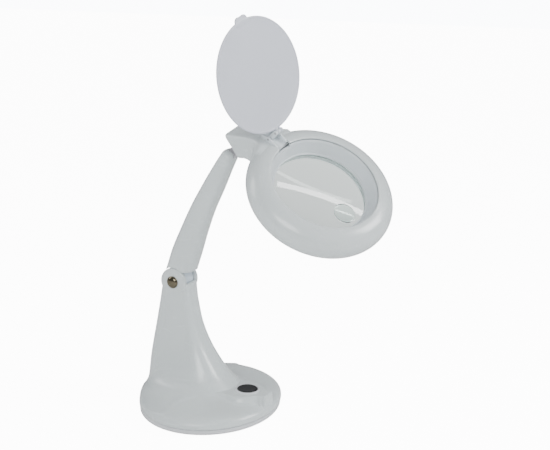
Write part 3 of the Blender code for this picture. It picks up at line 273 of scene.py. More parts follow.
def mix_tone(tree, mask, first, second):
    """Colour between two, by a mask socket. Either colour may be a socket or a plain colour."""
    mix = tree.nodes.new("ShaderNodeMix")
    mix.data_type = "RGBA"
    tree.links.new(mask, mix.inputs["Factor"])
    for label, tone in (("A", first), ("B", second)):
        socket = [s for s in mix.inputs if s.name == label and s.type == "RGBA"][0]
        if isinstance(tone, tuple):
            socket.default_value = (*tone, 1.0)
        else:
            tree.links.new(tone, socket)
    return [s for s in mix.outputs if s.type == "RGBA"][0]


def scaled(tree, socket, low, high):
    """A 0 to 1 mask, stretched to run from low to high."""
    node = tree.nodes.new("ShaderNodeMapRange")
    node.inputs["To Min"].default_value, node.inputs["To Max"].default_value = low, high
    tree.links.new(socket, node.inputs["Value"])
    return node.outputs["Result"]


def added(tree, first, second):
    """Sum of two sockets."""
    node = tree.nodes.new("ShaderNodeMath")
    tree.links.new(first, node.inputs[0])
    tree.links.new(second, node.inputs[1])
    return node.outputs[0]


def opaque(name, light, dark, gloss, rough, grain=0.02, dust=0.25, metallic=0.0, coat=0.0,
           grain_scale=2600.0):
    """Finish between two tones, with roughness from gloss to rough and a grain this many mm deep."""
    material = bpy.data.materials.new(name)
    material.use_nodes = True
    tree = material.node_tree
    shader = tree.nodes["Principled BSDF"]
    moulded = group_node(tree, MOULDED, Grain_Scale=grain_scale, Flow_Scale=FLOW_SCALE)
    settled = group_node(tree, DUST)
    rub = group_node(tree, RUB)
    dust_mask = scaled(tree, settled.outputs["Dust"], 0.0, dust)
    tone = mix_tone(tree, moulded.outputs["Flow"], light, dark)
    tone = mix_tone(tree, dust_mask, tone, DUST_TONE)
    tree.links.new(tone, shader.inputs["Base Color"])
    wear = added(tree, scaled(tree, moulded.outputs["Flow"], gloss, rough),
                 scaled(tree, rub.outputs["Rub"], 0.0, RUB_ROUGH))
    wear = added(tree, wear, scaled(tree, settled.outputs["Dust"], 0.0, DUST_ROUGH))
    tree.links.new(wear, shader.inputs["Roughness"])
    bump = tree.nodes.new("ShaderNodeBump")
    bump.inputs["Distance"].default_value = grain * MM
    tree.links.new(moulded.outputs["Grain"], bump.inputs["Height"])
    tree.links.new(bump.outputs["Normal"], shader.inputs["Normal"])
    shader.inputs["Metallic"].default_value = metallic
    shader.inputs["Coat Weight"].default_value = coat
    shader.inputs["Coat Roughness"].default_value = COAT_ROUGH
    return material


FINISH = {
    "shell_white": opaque("shell_white", (0.70, 0.76, 0.765), (0.66, 0.72, 0.73), 0.20, 0.32, coat=0.25),
    "pan_white": opaque("pan_white", (0.72, 0.74, 0.77), (0.68, 0.70, 0.73), 0.30, 0.42),
    "inner_white": opaque("inner_white", (0.74, 0.80, 0.83), (0.70, 0.76, 0.79), 0.30, 0.42),
    "cover_white": opaque("cover_white", (0.66, 0.69, 0.77), (0.63, 0.66, 0.74), 0.34, 0.46, grain=0.03),
    "knuckle_pale": opaque("knuckle_pale", (0.66, 0.74, 0.82), (0.62, 0.70, 0.78), 0.25, 0.36, coat=0.2),
    "button_black": opaque("button_black", (0.006, 0.006, 0.007), (0.010, 0.010, 0.011), 0.22, 0.34,
                           dust=0.02),
    "black_plastic": opaque("black_plastic", (0.012, 0.012, 0.013), (0.02, 0.02, 0.02), 0.45, 0.6,
                            dust=0.05),
    "black_rubber": opaque("black_rubber", (0.014, 0.014, 0.015), (0.024, 0.024, 0.024), 0.6, 0.8,
                           grain=0.05, dust=0.08),
    "foam_grey": opaque("foam_grey", (0.05, 0.05, 0.055), (0.075, 0.075, 0.08), 0.85, 0.95, grain=0.25,
                        grain_scale=900.0),
    "grey_plastic": opaque("grey_plastic", (0.30, 0.31, 0.33), (0.36, 0.37, 0.39), 0.42, 0.55),
    "steel": opaque("steel", (0.56, 0.56, 0.58), (0.48, 0.48, 0.51), 0.26, 0.42, metallic=1.0, dust=0.1,
                    grain_scale=1500.0),
    "dark_chrome": opaque("dark_chrome", (0.20, 0.175, 0.12), (0.13, 0.115, 0.08), 0.10, 0.2, metallic=1.0,
                          dust=0.05, grain=0.003),
    "iron": opaque("iron", (0.07, 0.07, 0.075), (0.11, 0.10, 0.10), 0.6, 0.8, grain=0.3, metallic=0.6,
                   grain_scale=600.0),
}
print(len(FINISH), "opaque finishes")

# %% [markdown]
# The lenses and the tube are glass. Clear glass needs a plain transmission value and an index of
# refraction. Its small faults are a faint cleaning haze in the roughness and a green cast in the
# colour. The tube is opal: its inside is coated with phosphor, so light soaks into it and it looks
# like milk glass, with a slightly darker tone towards the ends of the flow mask.

# %% Glass finishes
def clear_glass(name, tint, haze, index):
    """Transparent glass, with roughness that rises to haze along a slow noise."""
    material = bpy.data.materials.new(name)
    material.use_nodes = True
    tree = material.node_tree
    shader = tree.nodes["Principled BSDF"]
    moulded = group_node(tree, MOULDED, Grain_Scale=900.0, Flow_Scale=30.0)
    settled = group_node(tree, DUST, Patch_Scale=160.0)
    tree.links.new(mix_tone(tree, moulded.outputs["Flow"], tint, tuple(0.985 * t for t in tint)),
                   shader.inputs["Base Color"])
    tree.links.new(scaled(tree, settled.outputs["Dust"], 0.0, haze), shader.inputs["Roughness"])
    shader.inputs["IOR"].default_value = index
    shader.inputs["Transmission Weight"].default_value = 1.0
    return material


FINISH["lens_clear"] = clear_glass("lens_clear", (0.90, 0.965, 0.94), 0.03, 1.50)
FINISH["tube_glass"] = opaque("tube_glass", (0.86, 0.87, 0.86), (0.82, 0.83, 0.82), 0.12, 0.2, coat=0.5)
print("glass index", FINISH["lens_clear"].node_tree.nodes["Principled BSDF"].inputs["IOR"].default_value)

# %% [markdown]
# ## Making surfaces
# Every fine piece below is a grid of points worked out as whole arrays: a table of a few sections,
# read smoothly between its rows, or a profile carried round an axis. Three helpers do all the work.
# Corner cutting rounds a profile, a cubic reads between the rows of a table, and the last one joins
# a grid into a closed mesh. Lengths in the cells are millimetres, and become metres in the mesh.

# %% Curves and tables
def soften(points, rounds=3, closed=False):
    """Corner cutting: each round puts two points on every side, a quarter and three quarters along."""
    points = np.asarray(points, float)
    for _ in range(rounds):
        here = points if closed else points[:-1]
        ahead = np.roll(points, -1, axis=0) if closed else points[1:]
        cut = np.stack([0.75 * here + 0.25 * ahead, 0.25 * here + 0.75 * ahead], 1)
        cut = cut.reshape(-1, points.shape[1])
        points = cut if closed else np.vstack([points[:1], cut, points[-1:]])
    return points


def flow(table, count):
    """Rows read smoothly from a table: a cubic between neighbours, with slopes from both sides."""
    table = np.asarray(table, float)
    slope = np.gradient(table, axis=0)
    place = np.linspace(0, len(table) - 1, count)
    k = np.minimum(place.astype(int), len(table) - 2)
    t = (place - k)[:, None]
    start, end = table[k], table[k + 1]
    return ((2 * t**3 - 3 * t**2 + 1) * start + (t**3 - 2 * t**2 + t) * slope[k]
            + (3 * t**2 - 2 * t**3) * end + (t**3 - t**2) * slope[k + 1])


def step(value):
    """Smooth step: 0 below 0, 1 above 1, and three t squared minus two t cubed between."""
    t = np.clip(value, 0.0, 1.0)
    return t * t * (3 - 2 * t)


def signed_power(value, power):
    """The size of a value raised to a power, with the value's own sign."""
    return np.sign(value) * np.abs(value) ** power


print("a square softened twice has", len(soften([(0, 0), (1, 0), (1, 1), (0, 1)], 2, True)), "points")


# %% Grids into meshes
def finish_mesh(name, points, faces, sharp_deg=38):
    """Closed mesh in world millimetres, its doubles merged, faces outwards and edges past an angle sharp."""
    mesh = bpy.data.meshes.new(name)
    mesh.from_pydata((np.asarray(points, float) * MM).tolist(), [], faces)
    return outward(place_object(name, mesh), sharp_deg)


def place_object(name, mesh):
    """New object at the origin, unturned and unscaled, around a mesh."""
    piece = bpy.data.objects.new(name, mesh)
    bpy.context.scene.collection.objects.link(piece)
    return piece


def outward(piece, sharp_deg=38):
    """Merges doubles, points every face out and marks the sharp edges."""
    bm = bmesh.new()
    bm.from_mesh(piece.data)
    bmesh.ops.remove_doubles(bm, verts=bm.verts, dist=1e-6)
    bmesh.ops.recalc_face_normals(bm, faces=bm.faces)
    if bm.calc_volume(signed=True) < 0:
        bmesh.ops.reverse_faces(bm, faces=bm.faces)
    bm.to_mesh(piece.data)
    bm.free()
    piece.data.shade_smooth()
    piece.data.set_sharp_from_angle(angle=math.radians(sharp_deg))
    return piece


def skin(name, grid, ring=False, sharp_deg=38):
    """Grid of points (row, point in loop, xyz) joined by quads, with end caps unless rows form a ring."""
    rows, around = grid.shape[:2]
    i = np.arange(rows if ring else rows - 1)[:, None]
    j = np.arange(around)[None, :]
    below, above = i * around, ((i + 1) % rows) * around
    ahead = (j + 1) % around
    quads = np.stack([below + j, below + ahead, above + ahead, above + j], -1).reshape(-1, 4).tolist()
    caps = [] if ring else [list(range(around))[::-1], list(range((rows - 1) * around, rows * around))]
    return finish_mesh(name, grid.reshape(-1, 3), quads + caps, sharp_deg)


def carried(points, basis=None, origin=None):
    """Points from a piece's own frame into the world: each times the basis, plus the origin."""
    points = np.asarray(points, float)
    return points if basis is None else points @ np.asarray(basis).T + np.asarray(origin)


def turned(name, profile, steps=160, basis=None, origin=None, sharp_deg=38):
    """Ring-shaped solid: a closed (radius, height) profile carried round the Z axis of its frame."""
    profile = np.asarray(profile, float)
    angle = np.linspace(0, 2 * math.pi, steps, endpoint=False)[:, None]
    grid = np.stack([profile[:, 0] * np.cos(angle), profile[:, 0] * np.sin(angle),
                     profile[:, 1] + 0 * angle], -1)
    return skin(name, carried(grid, basis, origin), ring=True, sharp_deg=sharp_deg)


def lathed(name, profile, steps=96, basis=None, origin=None, sharp_deg=38):
    """Solid that reaches the axis: rows of an open (radius, height) profile, each turned into a loop."""
    profile = np.asarray(profile, float)
    angle = np.linspace(0, 2 * math.pi, steps, endpoint=False)
    radius, height = profile[:, 0, None], profile[:, 1, None]
    grid = np.stack([radius * np.cos(angle), radius * np.sin(angle), height + 0 * angle], -1)
    return skin(name, carried(grid, basis, origin), sharp_deg=sharp_deg)


def slab(name, outline, low, high, edge=0.5, basis=None, origin=None, rows=5):
    """Flat plate on an (x, y) outline, from low to high, with quarter-round edges of one radius."""
    outline = np.asarray(outline, float)
    along = np.roll(outline, -1, 0) - np.roll(outline, 1, 0)
    along /= np.linalg.norm(along, axis=1, keepdims=True)
    inward = np.stack([-along[:, 1], along[:, 0]], 1)
    x, y = outline.T
    if np.sum(x * np.roll(y, -1) - y * np.roll(x, -1)) < 0:
        inward = -inward
    bend = np.linspace(0, math.pi / 2, rows)
    drawn = np.concatenate([edge * (1 - np.sin(bend)), edge * (1 - np.cos(bend))])
    level = np.concatenate([low + edge * (1 - np.cos(bend)), high - edge + edge * np.sin(bend)])
    grid = outline[None] + drawn[:, None, None] * inward[None]
    grid = np.concatenate([grid, np.broadcast_to(level[:, None, None], (*grid.shape[:2], 1))], 2)
    return skin(name, carried(grid, basis, origin), sharp_deg=50)


print("helpers make rings, lathed solids and slabs")

# %% [markdown]
# Openings, slots and joins between mouldings are cut with Booleans on the fine mesh, and applied at
# once so that no cutter is left in the file. A shared last step gives a piece its finish and the body it
# moves with, and hides the model piece that it stands for.

# %% Cutting, joining and dressing
def carve(piece, cutter, operation="DIFFERENCE", sharp_deg=38):
    """Applies a Boolean of the cutter to the piece, and removes the cutter."""
    modifier = piece.modifiers.new("cut", "BOOLEAN")
    modifier.operation, modifier.solver, modifier.object = operation, "EXACT", cutter
    bpy.context.view_layer.update()
    graph = bpy.context.evaluated_depsgraph_get()
    made = bpy.data.meshes.new_from_object(piece.evaluated_get(graph))
    piece.modifiers.clear()
    piece.data = made
    bpy.data.objects.remove(cutter, do_unlink=True)
    piece.data.shade_smooth()
    piece.data.set_sharp_from_angle(angle=math.radians(sharp_deg))
    return piece


def block(low, high, basis=None, origin=None):
    """Box between two corners of a frame, used as a cutter or a plain core."""
    corners = np.array([(x, y, z) for z in (low[2], high[2]) for x, y in
                        ((low[0], low[1]), (high[0], low[1]), (high[0], high[1]), (low[0], high[1]))])
    return skin("block", carried(corners.reshape(2, 4, 3), basis, origin), sharp_deg=30)


def rod(radius, start, end, basis=None, origin=None, steps=96, name="rod", edge=0.0):
    """Straight round bar from start to end, with its rims rounded over by edge."""
    start, end = (Vector(carried(p, basis, origin)) for p in (start, end))
    turn = np.array((end - start).to_track_quat("Z", "Y").to_matrix())
    length = (end - start).length
    bend = np.linspace(0, math.pi / 2, 4)
    profile = [(radius, 0), (radius, length)]
    if edge:
        profile = [(radius - edge * (1 - s), edge * (1 - c)) for s, c in zip(np.sin(bend), np.cos(bend))]
        profile += [(r, length - h) for r, h in profile[::-1]]
    return lathed(name, profile, steps, turn, np.array(start))


def dress(piece, body, slot, *nodes):
    """Gives a piece the finish named by slot and its body, and hides the model nodes that it stands for."""
    piece.data.materials.clear()
    piece.data.materials.append(FINISH[slot])
    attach(piece, body)
    if nodes:
        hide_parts(*nodes)
    return piece


print("ready to model")

# %% [markdown]
# ## Base top and column
# On the real lamp one moulding runs from the rim of the base up to the ears of the folding joint. It
# could be sculpted by subdivision, but its sections are simple: level outlines that change from an
# ellipse at the rim to a rounded box at the joint. So the surface is a stack of such outlines. Then a
# raised step is added to the base, round the switch in front and sweeping out to both sides.

# %% Level outlines from rim to joint
PIVOT = np.array(joints["arm_fold"]["pos_m"]) / MM
LEVELS = [  # height, half width, front, rear, squareness
    (9.3, 90.6, -79.8, 80.2, 2.0), (10.4, 91.2, -80.4, 80.6, 2.0), (12.6, 91.3, -80.5, 80.9, 2.0),
    (15.4, 90.6, -79.8, 81.0, 2.0), (18.2, 88.2, -77.4, 80.9, 2.0), (20.4, 83.9, -73.1, 80.8, 2.0),
    (22.2, 76.0, -65.6, 80.7, 2.05), (23.8, 64.5, -54.6, 80.4, 2.1), (25.8, 51.0, -43.8, 80.0, 2.2),
    (29.2, 41.0, -34.6, 79.6, 2.35), (35.0, 34.5, -27.4, 79.0, 2.55), (43.0, 29.8, -18.6, 78.2, 2.8),
    (54.0, 25.4, -9.2, 77.0, 3.1), (74.0, 20.6, 4.2, 73.6, 3.5), (98.0, 17.6, 15.2, 68.6, 3.9),
    (124.0, 15.8, 21.4, 63.4, 4.3), (137.0, 15.2, 23.4, 61.0, 4.6),
    (PIVOT[2] - 1.2, 14.95, 24.6, 58.6, 4.8),
]
AROUND = 288


def level_loops(rows, around=AROUND):
    """Superellipse loops: half width and depth times cosine and sine, each to the power 2 / squareness."""
    z, half, front, rear, square = (column[:, None] for column in np.asarray(rows).T)
    angle = np.linspace(0, 2 * math.pi, around, endpoint=False)
    x = half * signed_power(np.cos(angle), 2 / square)
    y = (front + rear) / 2 + (rear - front) / 2 * signed_power(np.sin(angle), 2 / square)
    return np.stack([x, y, z + 0 * x], -1)


moulding = level_loops(flow(LEVELS, 210))
print("base and column rows:", moulding.shape[0])

# %% [markdown]
# The step is a height that the surface rises to, times a soft mask. The mask joins two shapes: a tongue
# with a round front for the switch, and a shoulder behind a curve that sweeps outwards. They are
# merged with a logarithm of summed exponentials, which is a maximum without a crease.

# %% Raised tongue and shoulders
TONGUE_HALF, TONGUE_FRONT_Y, TONGUE_TOP = 27.6, -69.6, 30.8
STEP_SOFT, JOIN_SOFT = 5.5, 3.0


def raised(grid):
    """Lifts the base top to the step height where the mask of tongue or shoulder says so."""
    x, y, z = np.moveaxis(grid, -1, 0)
    spread = np.abs(x)
    round_front = np.minimum(y - (TONGUE_FRONT_Y + TONGUE_HALF), 0)
    waist = 1.6 * np.exp(-((y + 34.0) / 12.0) ** 2)
    tongue = TONGUE_HALF - waist - np.hypot(x, round_front)
    tongue = np.where(y < -6.0, tongue, tongue + 1.6 * (y + 6.0))
    shoulder = 0.75 * (y + 15.0 - 28.0 * (1 - np.exp(-(spread - 30.0) / 17.0)))
    inside = JOIN_SOFT * np.logaddexp(tongue / JOIN_SOFT, shoulder / JOIN_SOFT)
    mask = step(inside / STEP_SOFT + 0.5)
    top = TONGUE_TOP - 0.16 * np.maximum(spread - 26.0, 0) - 0.13 * np.maximum(y - 10.0, 0)
    lift = mask * np.maximum(top - z, 0) * step((z - 16.5) / 3.0)
    return np.stack([x, y, z + np.where(z < TONGUE_TOP, lift, 0)], -1)


base_top = skin("base_and_column", raised(moulding))
print("base moulding faces:", len(base_top.data.polygons))

# %% [markdown]
# The top of the column becomes a fork. Two round ears are joined on, then the slot for the knuckle of
# the arm is cut between them, with the holes for the pivot bolt and the switch, and a shallow seat for
# the plate in the back of the column.

# %% Ears, slot and holes
EAR_R, COLUMN_HALF, SLOT_HALF, KNUCKLE_ROOM = 16.4, 14.95, 10.6, 14.3
SWITCH_PLACE = np.array([0.0, -49.0])
BOLT_HOLE_R, SWITCH_HOLE_R, SLOT_FLOOR = 3.3, 12.35, 1.6
REAR_PLATE = dict(half=8.5, z=(52.0, 116.0), y=(77.0, 65.2), corner=3.0, thick=2.0)
SEAT_GAP = 0.35


def rear_plate_slab(name, grow, outer, inner):
    """Plate along the sloped back of the column: a slab whose frame lies in that slope."""
    (z0, z1), (y0, y1) = REAR_PLATE["z"], REAR_PLATE["y"]
    up = np.array([0.0, y1 - y0, z1 - z0])
    length = np.linalg.norm(up)
    up /= length
    out = np.array([0.0, up[2], -up[1]])
    basis = np.stack([np.array([-1.0, 0.0, 0.0]), up, out], 1)
    half, corner = REAR_PLATE["half"] + grow, REAR_PLATE["corner"] + grow
    box = [(-half, -grow), (half, -grow), (half, length + grow), (-half, length + grow)]
    return slab(name, rounded_corners(box, corner), inner, outer, 0.35, basis, np.array([0.0, y0, z0]))


def rounded_corners(points, radius, steps=8):
    """Closed outline with each corner swapped for a curve that starts and ends a radius away from it."""
    points = np.asarray(points, float)
    before, after = np.roll(points, 1, 0) - points, np.roll(points, -1, 0) - points
    before /= np.linalg.norm(before, axis=1, keepdims=True)
    after /= np.linalg.norm(after, axis=1, keepdims=True)
    t = np.linspace(0, 1, steps)[None, :, None]
    start, end = (points + radius * before)[:, None], (points + radius * after)[:, None]
    curve = (1 - t) ** 2 * start + 2 * t * (1 - t) * points[:, None] + t**2 * end
    return curve.reshape(-1, 2)


ears = rod(EAR_R, (-COLUMN_HALF, PIVOT[1], PIVOT[2]), (COLUMN_HALF, PIVOT[1], PIVOT[2]), edge=1.2)
carve(base_top, ears, "UNION")
carve(base_top, block((-SLOT_HALF, PIVOT[1] - KNUCKLE_ROOM, PIVOT[2] - KNUCKLE_ROOM - 1),
                      (SLOT_HALF, PIVOT[1] + KNUCKLE_ROOM, PIVOT[2] + 30)))
carve(base_top, block((-SLOT_HALF, PIVOT[1] - 40, PIVOT[2] - SLOT_FLOOR),
                      (SLOT_HALF, PIVOT[1] + 40, PIVOT[2] + 30)))
carve(base_top, rod(BOLT_HOLE_R, (-30, PIVOT[1], PIVOT[2]), (30, PIVOT[1], PIVOT[2]), steps=32))
carve(base_top, rod(SWITCH_HOLE_R, (*SWITCH_PLACE, 18.0), (*SWITCH_PLACE, 50.0)))
carve(base_top, rear_plate_slab("seat", SEAT_GAP, 6.0, -REAR_PLATE["thick"] - 0.3))
dress(base_top, "base", "shell_white", "base_shell")
back_plate = rear_plate_slab("column_back_plate", 0.0, 0.1, -REAR_PLATE["thick"])
dress(back_plate, "base", "shell_white", "column_rear_cover")
print("base top box in mm:", [round(v / MM, 1) for v in base_top.dimensions])

# %% [markdown]
# The lower pan closes the base. It stands in a little from the rim, so that a dark seam shows all
# round, and its lower edge is rounded. It is the same kind of stack of level outlines. Under it lies a
# foam pad, which is all that meets the table.

# %% Pan and pad
PAN_LEVELS = [(1.9, 84.4, -73.6, 74.4, 2.0), (2.0, 87.2, -76.4, 77.2, 2.0), (3.0, 89.2, -78.4, 79.2, 2.0),
              (4.6, 90.2, -79.4, 80.2, 2.0), (7.6, 90.4, -79.6, 80.4, 2.0), (8.3, 90.1, -79.3, 80.1, 2.0),
              (8.6, 89.4, -78.6, 79.4, 2.0)]
pan = skin("lower_pan", level_loops(flow(PAN_LEVELS, 34), 192))
dress(pan, "base", "pan_white", "base_pan")
PAD_LEVELS = [(0.0, 81.8, -71.0, 71.0, 2.0), (0.25, 82.3, -71.5, 71.5, 2.0), (1.25, 82.3, -71.5, 71.5, 2.0),
              (1.6, 81.8, -71.0, 71.0, 2.0)]
pad = skin("foam_pad", level_loops(flow(PAD_LEVELS, 12), 160))
dress(pad, "base", "foam_grey", "base_pad")
print("pan is", round(pan.dimensions.x / MM, 1), "mm wide")

# %% [markdown]
# The switch is a black push button in a thin light bezel. The button is lathed: its top is slightly
# domed, with a soft rim and a shallow dish for the finger. It moves with its own body.

# %% Switch
def disc_profile(radius, low, high, edge, crown=0.0, points=6, rows=5):
    """Open (radius, height) rows of a disc: a rounded rim, and a crown that falls as the radius squared."""
    bend = np.linspace(0, math.pi / 2, points)
    rim = np.stack([radius - edge + edge * np.cos(bend), high - edge + edge * np.sin(bend)], 1)
    reach = np.linspace(radius - edge, 0.02, rows + 1)[1:]
    top = np.stack([reach, high + crown * (1 - (reach / (radius - edge)) ** 2)], 1)
    return np.vstack([[(0.02, low), (radius * 0.97, low), (radius, low + 0.4)], rim, top])


button_low, button_high = (corner.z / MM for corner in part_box("power_button"))
BUTTON_R = 11.8
at_switch = (np.eye(3), np.array([*SWITCH_PLACE, 0.0]))
button_rows = disc_profile(BUTTON_R, button_low, button_high, 1.3, -0.35, rows=8)
button = lathed("switch_button", button_rows, 96, *at_switch)
dress(button, "button", "button_black", "power_button")
BEZEL = [(BUTTON_R + 0.35, 24.0), (BUTTON_R + 0.35, 31.6), (BUTTON_R + 0.75, 32.1), (BUTTON_R + 1.6, 32.1),
         (BUTTON_R + 2.4, 31.6), (BUTTON_R + 2.9, 30.7), (BUTTON_R + 2.9, 29.4), (BUTTON_R + 0.9, 29.4),
         (BUTTON_R + 0.9, 24.0)]
bezel = turned("switch_bezel_ring", soften(BEZEL, 2, True), 128, *at_switch)
dress(bezel, "base", "pan_white", "switch_bezel")
print("button stands", round(button_high - TONGUE_TOP, 1), "mm above the tongue")

# %% [markdown]
# ## Folding joint
# The knuckle of the arm sits between the ears, with a friction washer on each side, all clamped by the
# bolt. It is a barrel with softened rims, joined to a flat neck that runs up into the arm. The bright
# caps that hide the bolt are lathed domes with a small step at the rim.

# %% Knuckle and pin caps
knuckle_box = [np.array(corner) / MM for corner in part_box("arm_knuckle")]
KNUCKLE_R = 13.4
barrel = rod(KNUCKLE_R, (knuckle_box[0][0], *PIVOT[1:]), (knuckle_box[1][0], *PIVOT[1:]), steps=128,
             name="knuckle_barrel", edge=0.6)
neck = block((knuckle_box[0][0] + 0.6, PIVOT[1] - 12.0, PIVOT[2]),
             (knuckle_box[1][0] - 0.6, PIVOT[1] + 6.0, PIVOT[2] + 24))
carve(barrel, neck, "UNION")
dress(barrel, "arm", "knuckle_pale", "arm_knuckle")
CAP_R, CAP_H = 7.2, 3.3
for side, label in ((-1, "left"), (1, "right")):
    bend = np.linspace(0, math.pi / 2, 12)[:-1]
    dome = np.stack([(CAP_R - 0.7) * np.cos(bend), 0.9 + (CAP_H - 0.9) * np.sin(bend)], 1)
    profile = np.vstack([[(0.02, 0.0), (CAP_R - 0.2, 0.0), (CAP_R, 0.2), (CAP_R, 0.7), (CAP_R - 0.25, 0.9)],
                         dome, [(0.02, CAP_H)]])
    basis = np.stack([np.array([0, 1.0, 0]), np.array([0, 0, 1.0]), np.array([1.0, 0, 0])], 1)
    basis[:, 2] *= side
    seat_of_cap = np.array([side * (COLUMN_HALF + 0.25), *PIVOT[1:]])
    cap = lathed(f"pin_dome_{label}", profile, 72, basis, seat_of_cap)
    dress(cap, "base", "dark_chrome", f"pin_cap_{label}")
print("cap radius", CAP_R, "mm")

# %% [markdown]
# ## Arm
# The arm is one curved moulding that tapers to its tip. Its sections are rounded boxes, each set
# across the arm between a front point and a rear point. A table holds eight of them, and the cubic
# reads a smooth surface between. The foot is then cut round the ears, and a strip is let into its back.

# %% Arm sections
ARM_ROWS = [  # front y, front z, rear y, rear z, half width
    (26.0, 150.0, 60.0, 152.0, 14.9), (20.4, 167.5, 54.0, 167.5, 15.1), (14.4, 185.5, 46.0, 190.0, 15.2),
    (6.7, 210.5, 34.6, 214.5, 15.0), (-3.0, 237.0, 20.4, 243.0, 14.6), (-14.8, 262.0, 4.6, 270.0, 13.9),
    (-24.6, 284.5, -9.0, 292.0, 13.0), (-30.8, 297.5, -18.4, 306.0, 12.0),
]
arm_rows = flow(ARM_ROWS, 110)
front, rear = arm_rows[:, 0:2], arm_rows[:, 2:4]
ARM_SQUARE, ARM_AROUND, TIP_ROWS, TIP_LENGTH = 3.4, 96, 16, 7.5


def arm_loops(front, rear, half, square):
    """Loops across the arm: x is half width by cosine, and sine runs from the front to the rear point."""
    angle = np.linspace(0, 2 * math.pi, ARM_AROUND, endpoint=False)
    x = half[:, None] * signed_power(np.cos(angle), 2 / square)
    share = 0.5 + 0.5 * signed_power(np.sin(angle), 2 / square)
    spot = front[:, None] + (rear - front)[:, None] * share[None, :, None]
    return np.concatenate([np.broadcast_to(x[..., None], (*x.shape, 1)), spot], 2)


tip_dir = (front[-1] + rear[-1]) - (front[-4] + rear[-4])
tip_dir /= np.linalg.norm(tip_dir)
bend = np.linspace(0, math.pi / 2, TIP_ROWS + 1)[1:, None]
shrink = 0.28 + 0.72 * np.cos(bend) ** 0.8
middle = (front[-1] + rear[-1]) / 2 + TIP_LENGTH * np.sin(bend) * tip_dir
half_gap = (rear[-1] - front[-1]) / 2
tip_front, tip_rear = middle - shrink * half_gap, middle + shrink * half_gap
arm = skin("arm_moulding", arm_loops(np.vstack([front, tip_front]), np.vstack([rear, tip_rear]),
                                     np.concatenate([arm_rows[:, 4], arm_rows[-1, 4] * shrink[:, 0]]),
                                     ARM_SQUARE))
print("arm faces:", len(arm.data.polygons))

# %% Foot of the arm and its back strip
ARM_FOOT, EAR_GAP = 13.0, 0.8
GROOVE_HALF, STRIP_HALF, STRIP_EDGE = 8.8, 8.5, 0.4


def back_strip(name, half, inner, outer, first, last):
    """Curved strip along the back line of the arm, between two depths measured out from that line."""
    rows = arm_rows[first:last]
    across = rows[:, 2:4] - rows[:, 0:2]
    across /= np.linalg.norm(across, axis=1, keepdims=True)
    corners = []
    for x, out in ((-half, inner), (half, inner), (half, outer), (-half, outer)):
        spot = rows[:, 2:4] + across * out
        corners.append(np.column_stack([np.full(len(rows), x), spot]))
    return skin(name, np.stack(corners, 1))


carve(arm, rod(EAR_R + EAR_GAP, (-30, *PIVOT[1:]), (30, *PIVOT[1:]), steps=160))
carve(arm, block((-30, PIVOT[1] - 60, PIVOT[2] - 60), (30, PIVOT[1] + 60, PIVOT[2] + ARM_FOOT)))
carve(arm, back_strip("groove", GROOVE_HALF, -2.2, 4.0, 26, 88))
dress(arm, "arm", "shell_white", "arm_shell")
strip = back_strip("arm_back_strip", STRIP_HALF, -2.1, -0.25, 27, 87)
strip_edge = strip.modifiers.new("soft edge", "BEVEL")
strip_edge.width, strip_edge.segments = STRIP_EDGE * MM, 2
strip_edge.limit_method, strip_edge.angle_limit = "ANGLE", math.radians(50)
dress(strip, "arm", "shell_white", "arm_rear_cover")
print("strip points:", len(strip.data.vertices))

# %% [markdown]
# ## Frame of the head
# The head is tilted and rolled, so its pieces are drawn in their own frame: x across, y back towards
# the arm and z up out of the lens. The two axes come from the joints of the model. The joint point is
# a fixed way behind and below the middle of the lens opening, which gives the origin.

# %% Frames of head, link and cover
def unit(vector):
    """The vector, at length one."""
    vector = np.array(vector, float)
    return vector / np.linalg.norm(vector)


back = -unit(joints["head_roll"]["axis"])
across = unit(joints["link_hinge"]["axis"])
across *= np.sign(across[0])
back *= np.sign(back[1])
lift = np.cross(across, back)
JOINT_BACK, JOINT_DROP = 106.8, 37.1
HEAD_BASIS = np.stack([across, back, lift], 1)
HEAD_ORIGIN = np.array(joints["head_roll"]["pos_m"]) / MM - JOINT_BACK * back + JOINT_DROP * lift
LINK_LOW = np.array(joints["link_hinge"]["pos_m"]) / MM
LINK_HIGH = np.array(joints["cover_hinge"]["pos_m"]) / MM
rise = unit(LINK_HIGH - LINK_LOW)
LINK_BASIS = np.stack([across, np.cross(rise, across), rise], 1)
COVER_LEAN = math.radians(44.6)
cover_up = math.cos(COVER_LEAN) * lift + math.sin(COVER_LEAN) * back
COVER_BASIS = np.stack([across, np.cross(cover_up, across), cover_up], 1)
IN_HEAD = dict(basis=HEAD_BASIS, origin=HEAD_ORIGIN)
print("middle of the opening, mm:", HEAD_ORIGIN.round(1))
print("link length, mm:", round(float(np.linalg.norm(LINK_HIGH - LINK_LOW)), 1))

# %% [markdown]
# ## Ring shell and hood
# The ring is a hollow moulding with an oval section, open below for the tube. Its upper shell reaches
# from the lens opening down to a parting line on the outside. Behind it, a hood reaches back over the
# head joint. The hood is a loft of rounded boxes that widen where they meet the ring, so the join
# has the hollow sweep of a moulded fillet. It could be a bevel on a Boolean edge, but the loft keeps
# even faces where the light runs along it.

# %% Oval section of the ring
RING_R, RING_W, RING_H, RING_Z, WALL = 58.5, 21.5, 19.0, -17.0, 2.4
PARTING, LIP, SEAM = -36.0, -66.0, 0.35


def ring_arc(start, end, count, inset=0.0):
    """(radius, height) along the oval: middle radius and height plus half sizes times cosine and sine."""
    t = np.radians(np.linspace(start, end, count))
    return np.stack([RING_R + (RING_W - inset) * np.cos(t), RING_Z + (RING_H - inset) * np.sin(t)], 1)


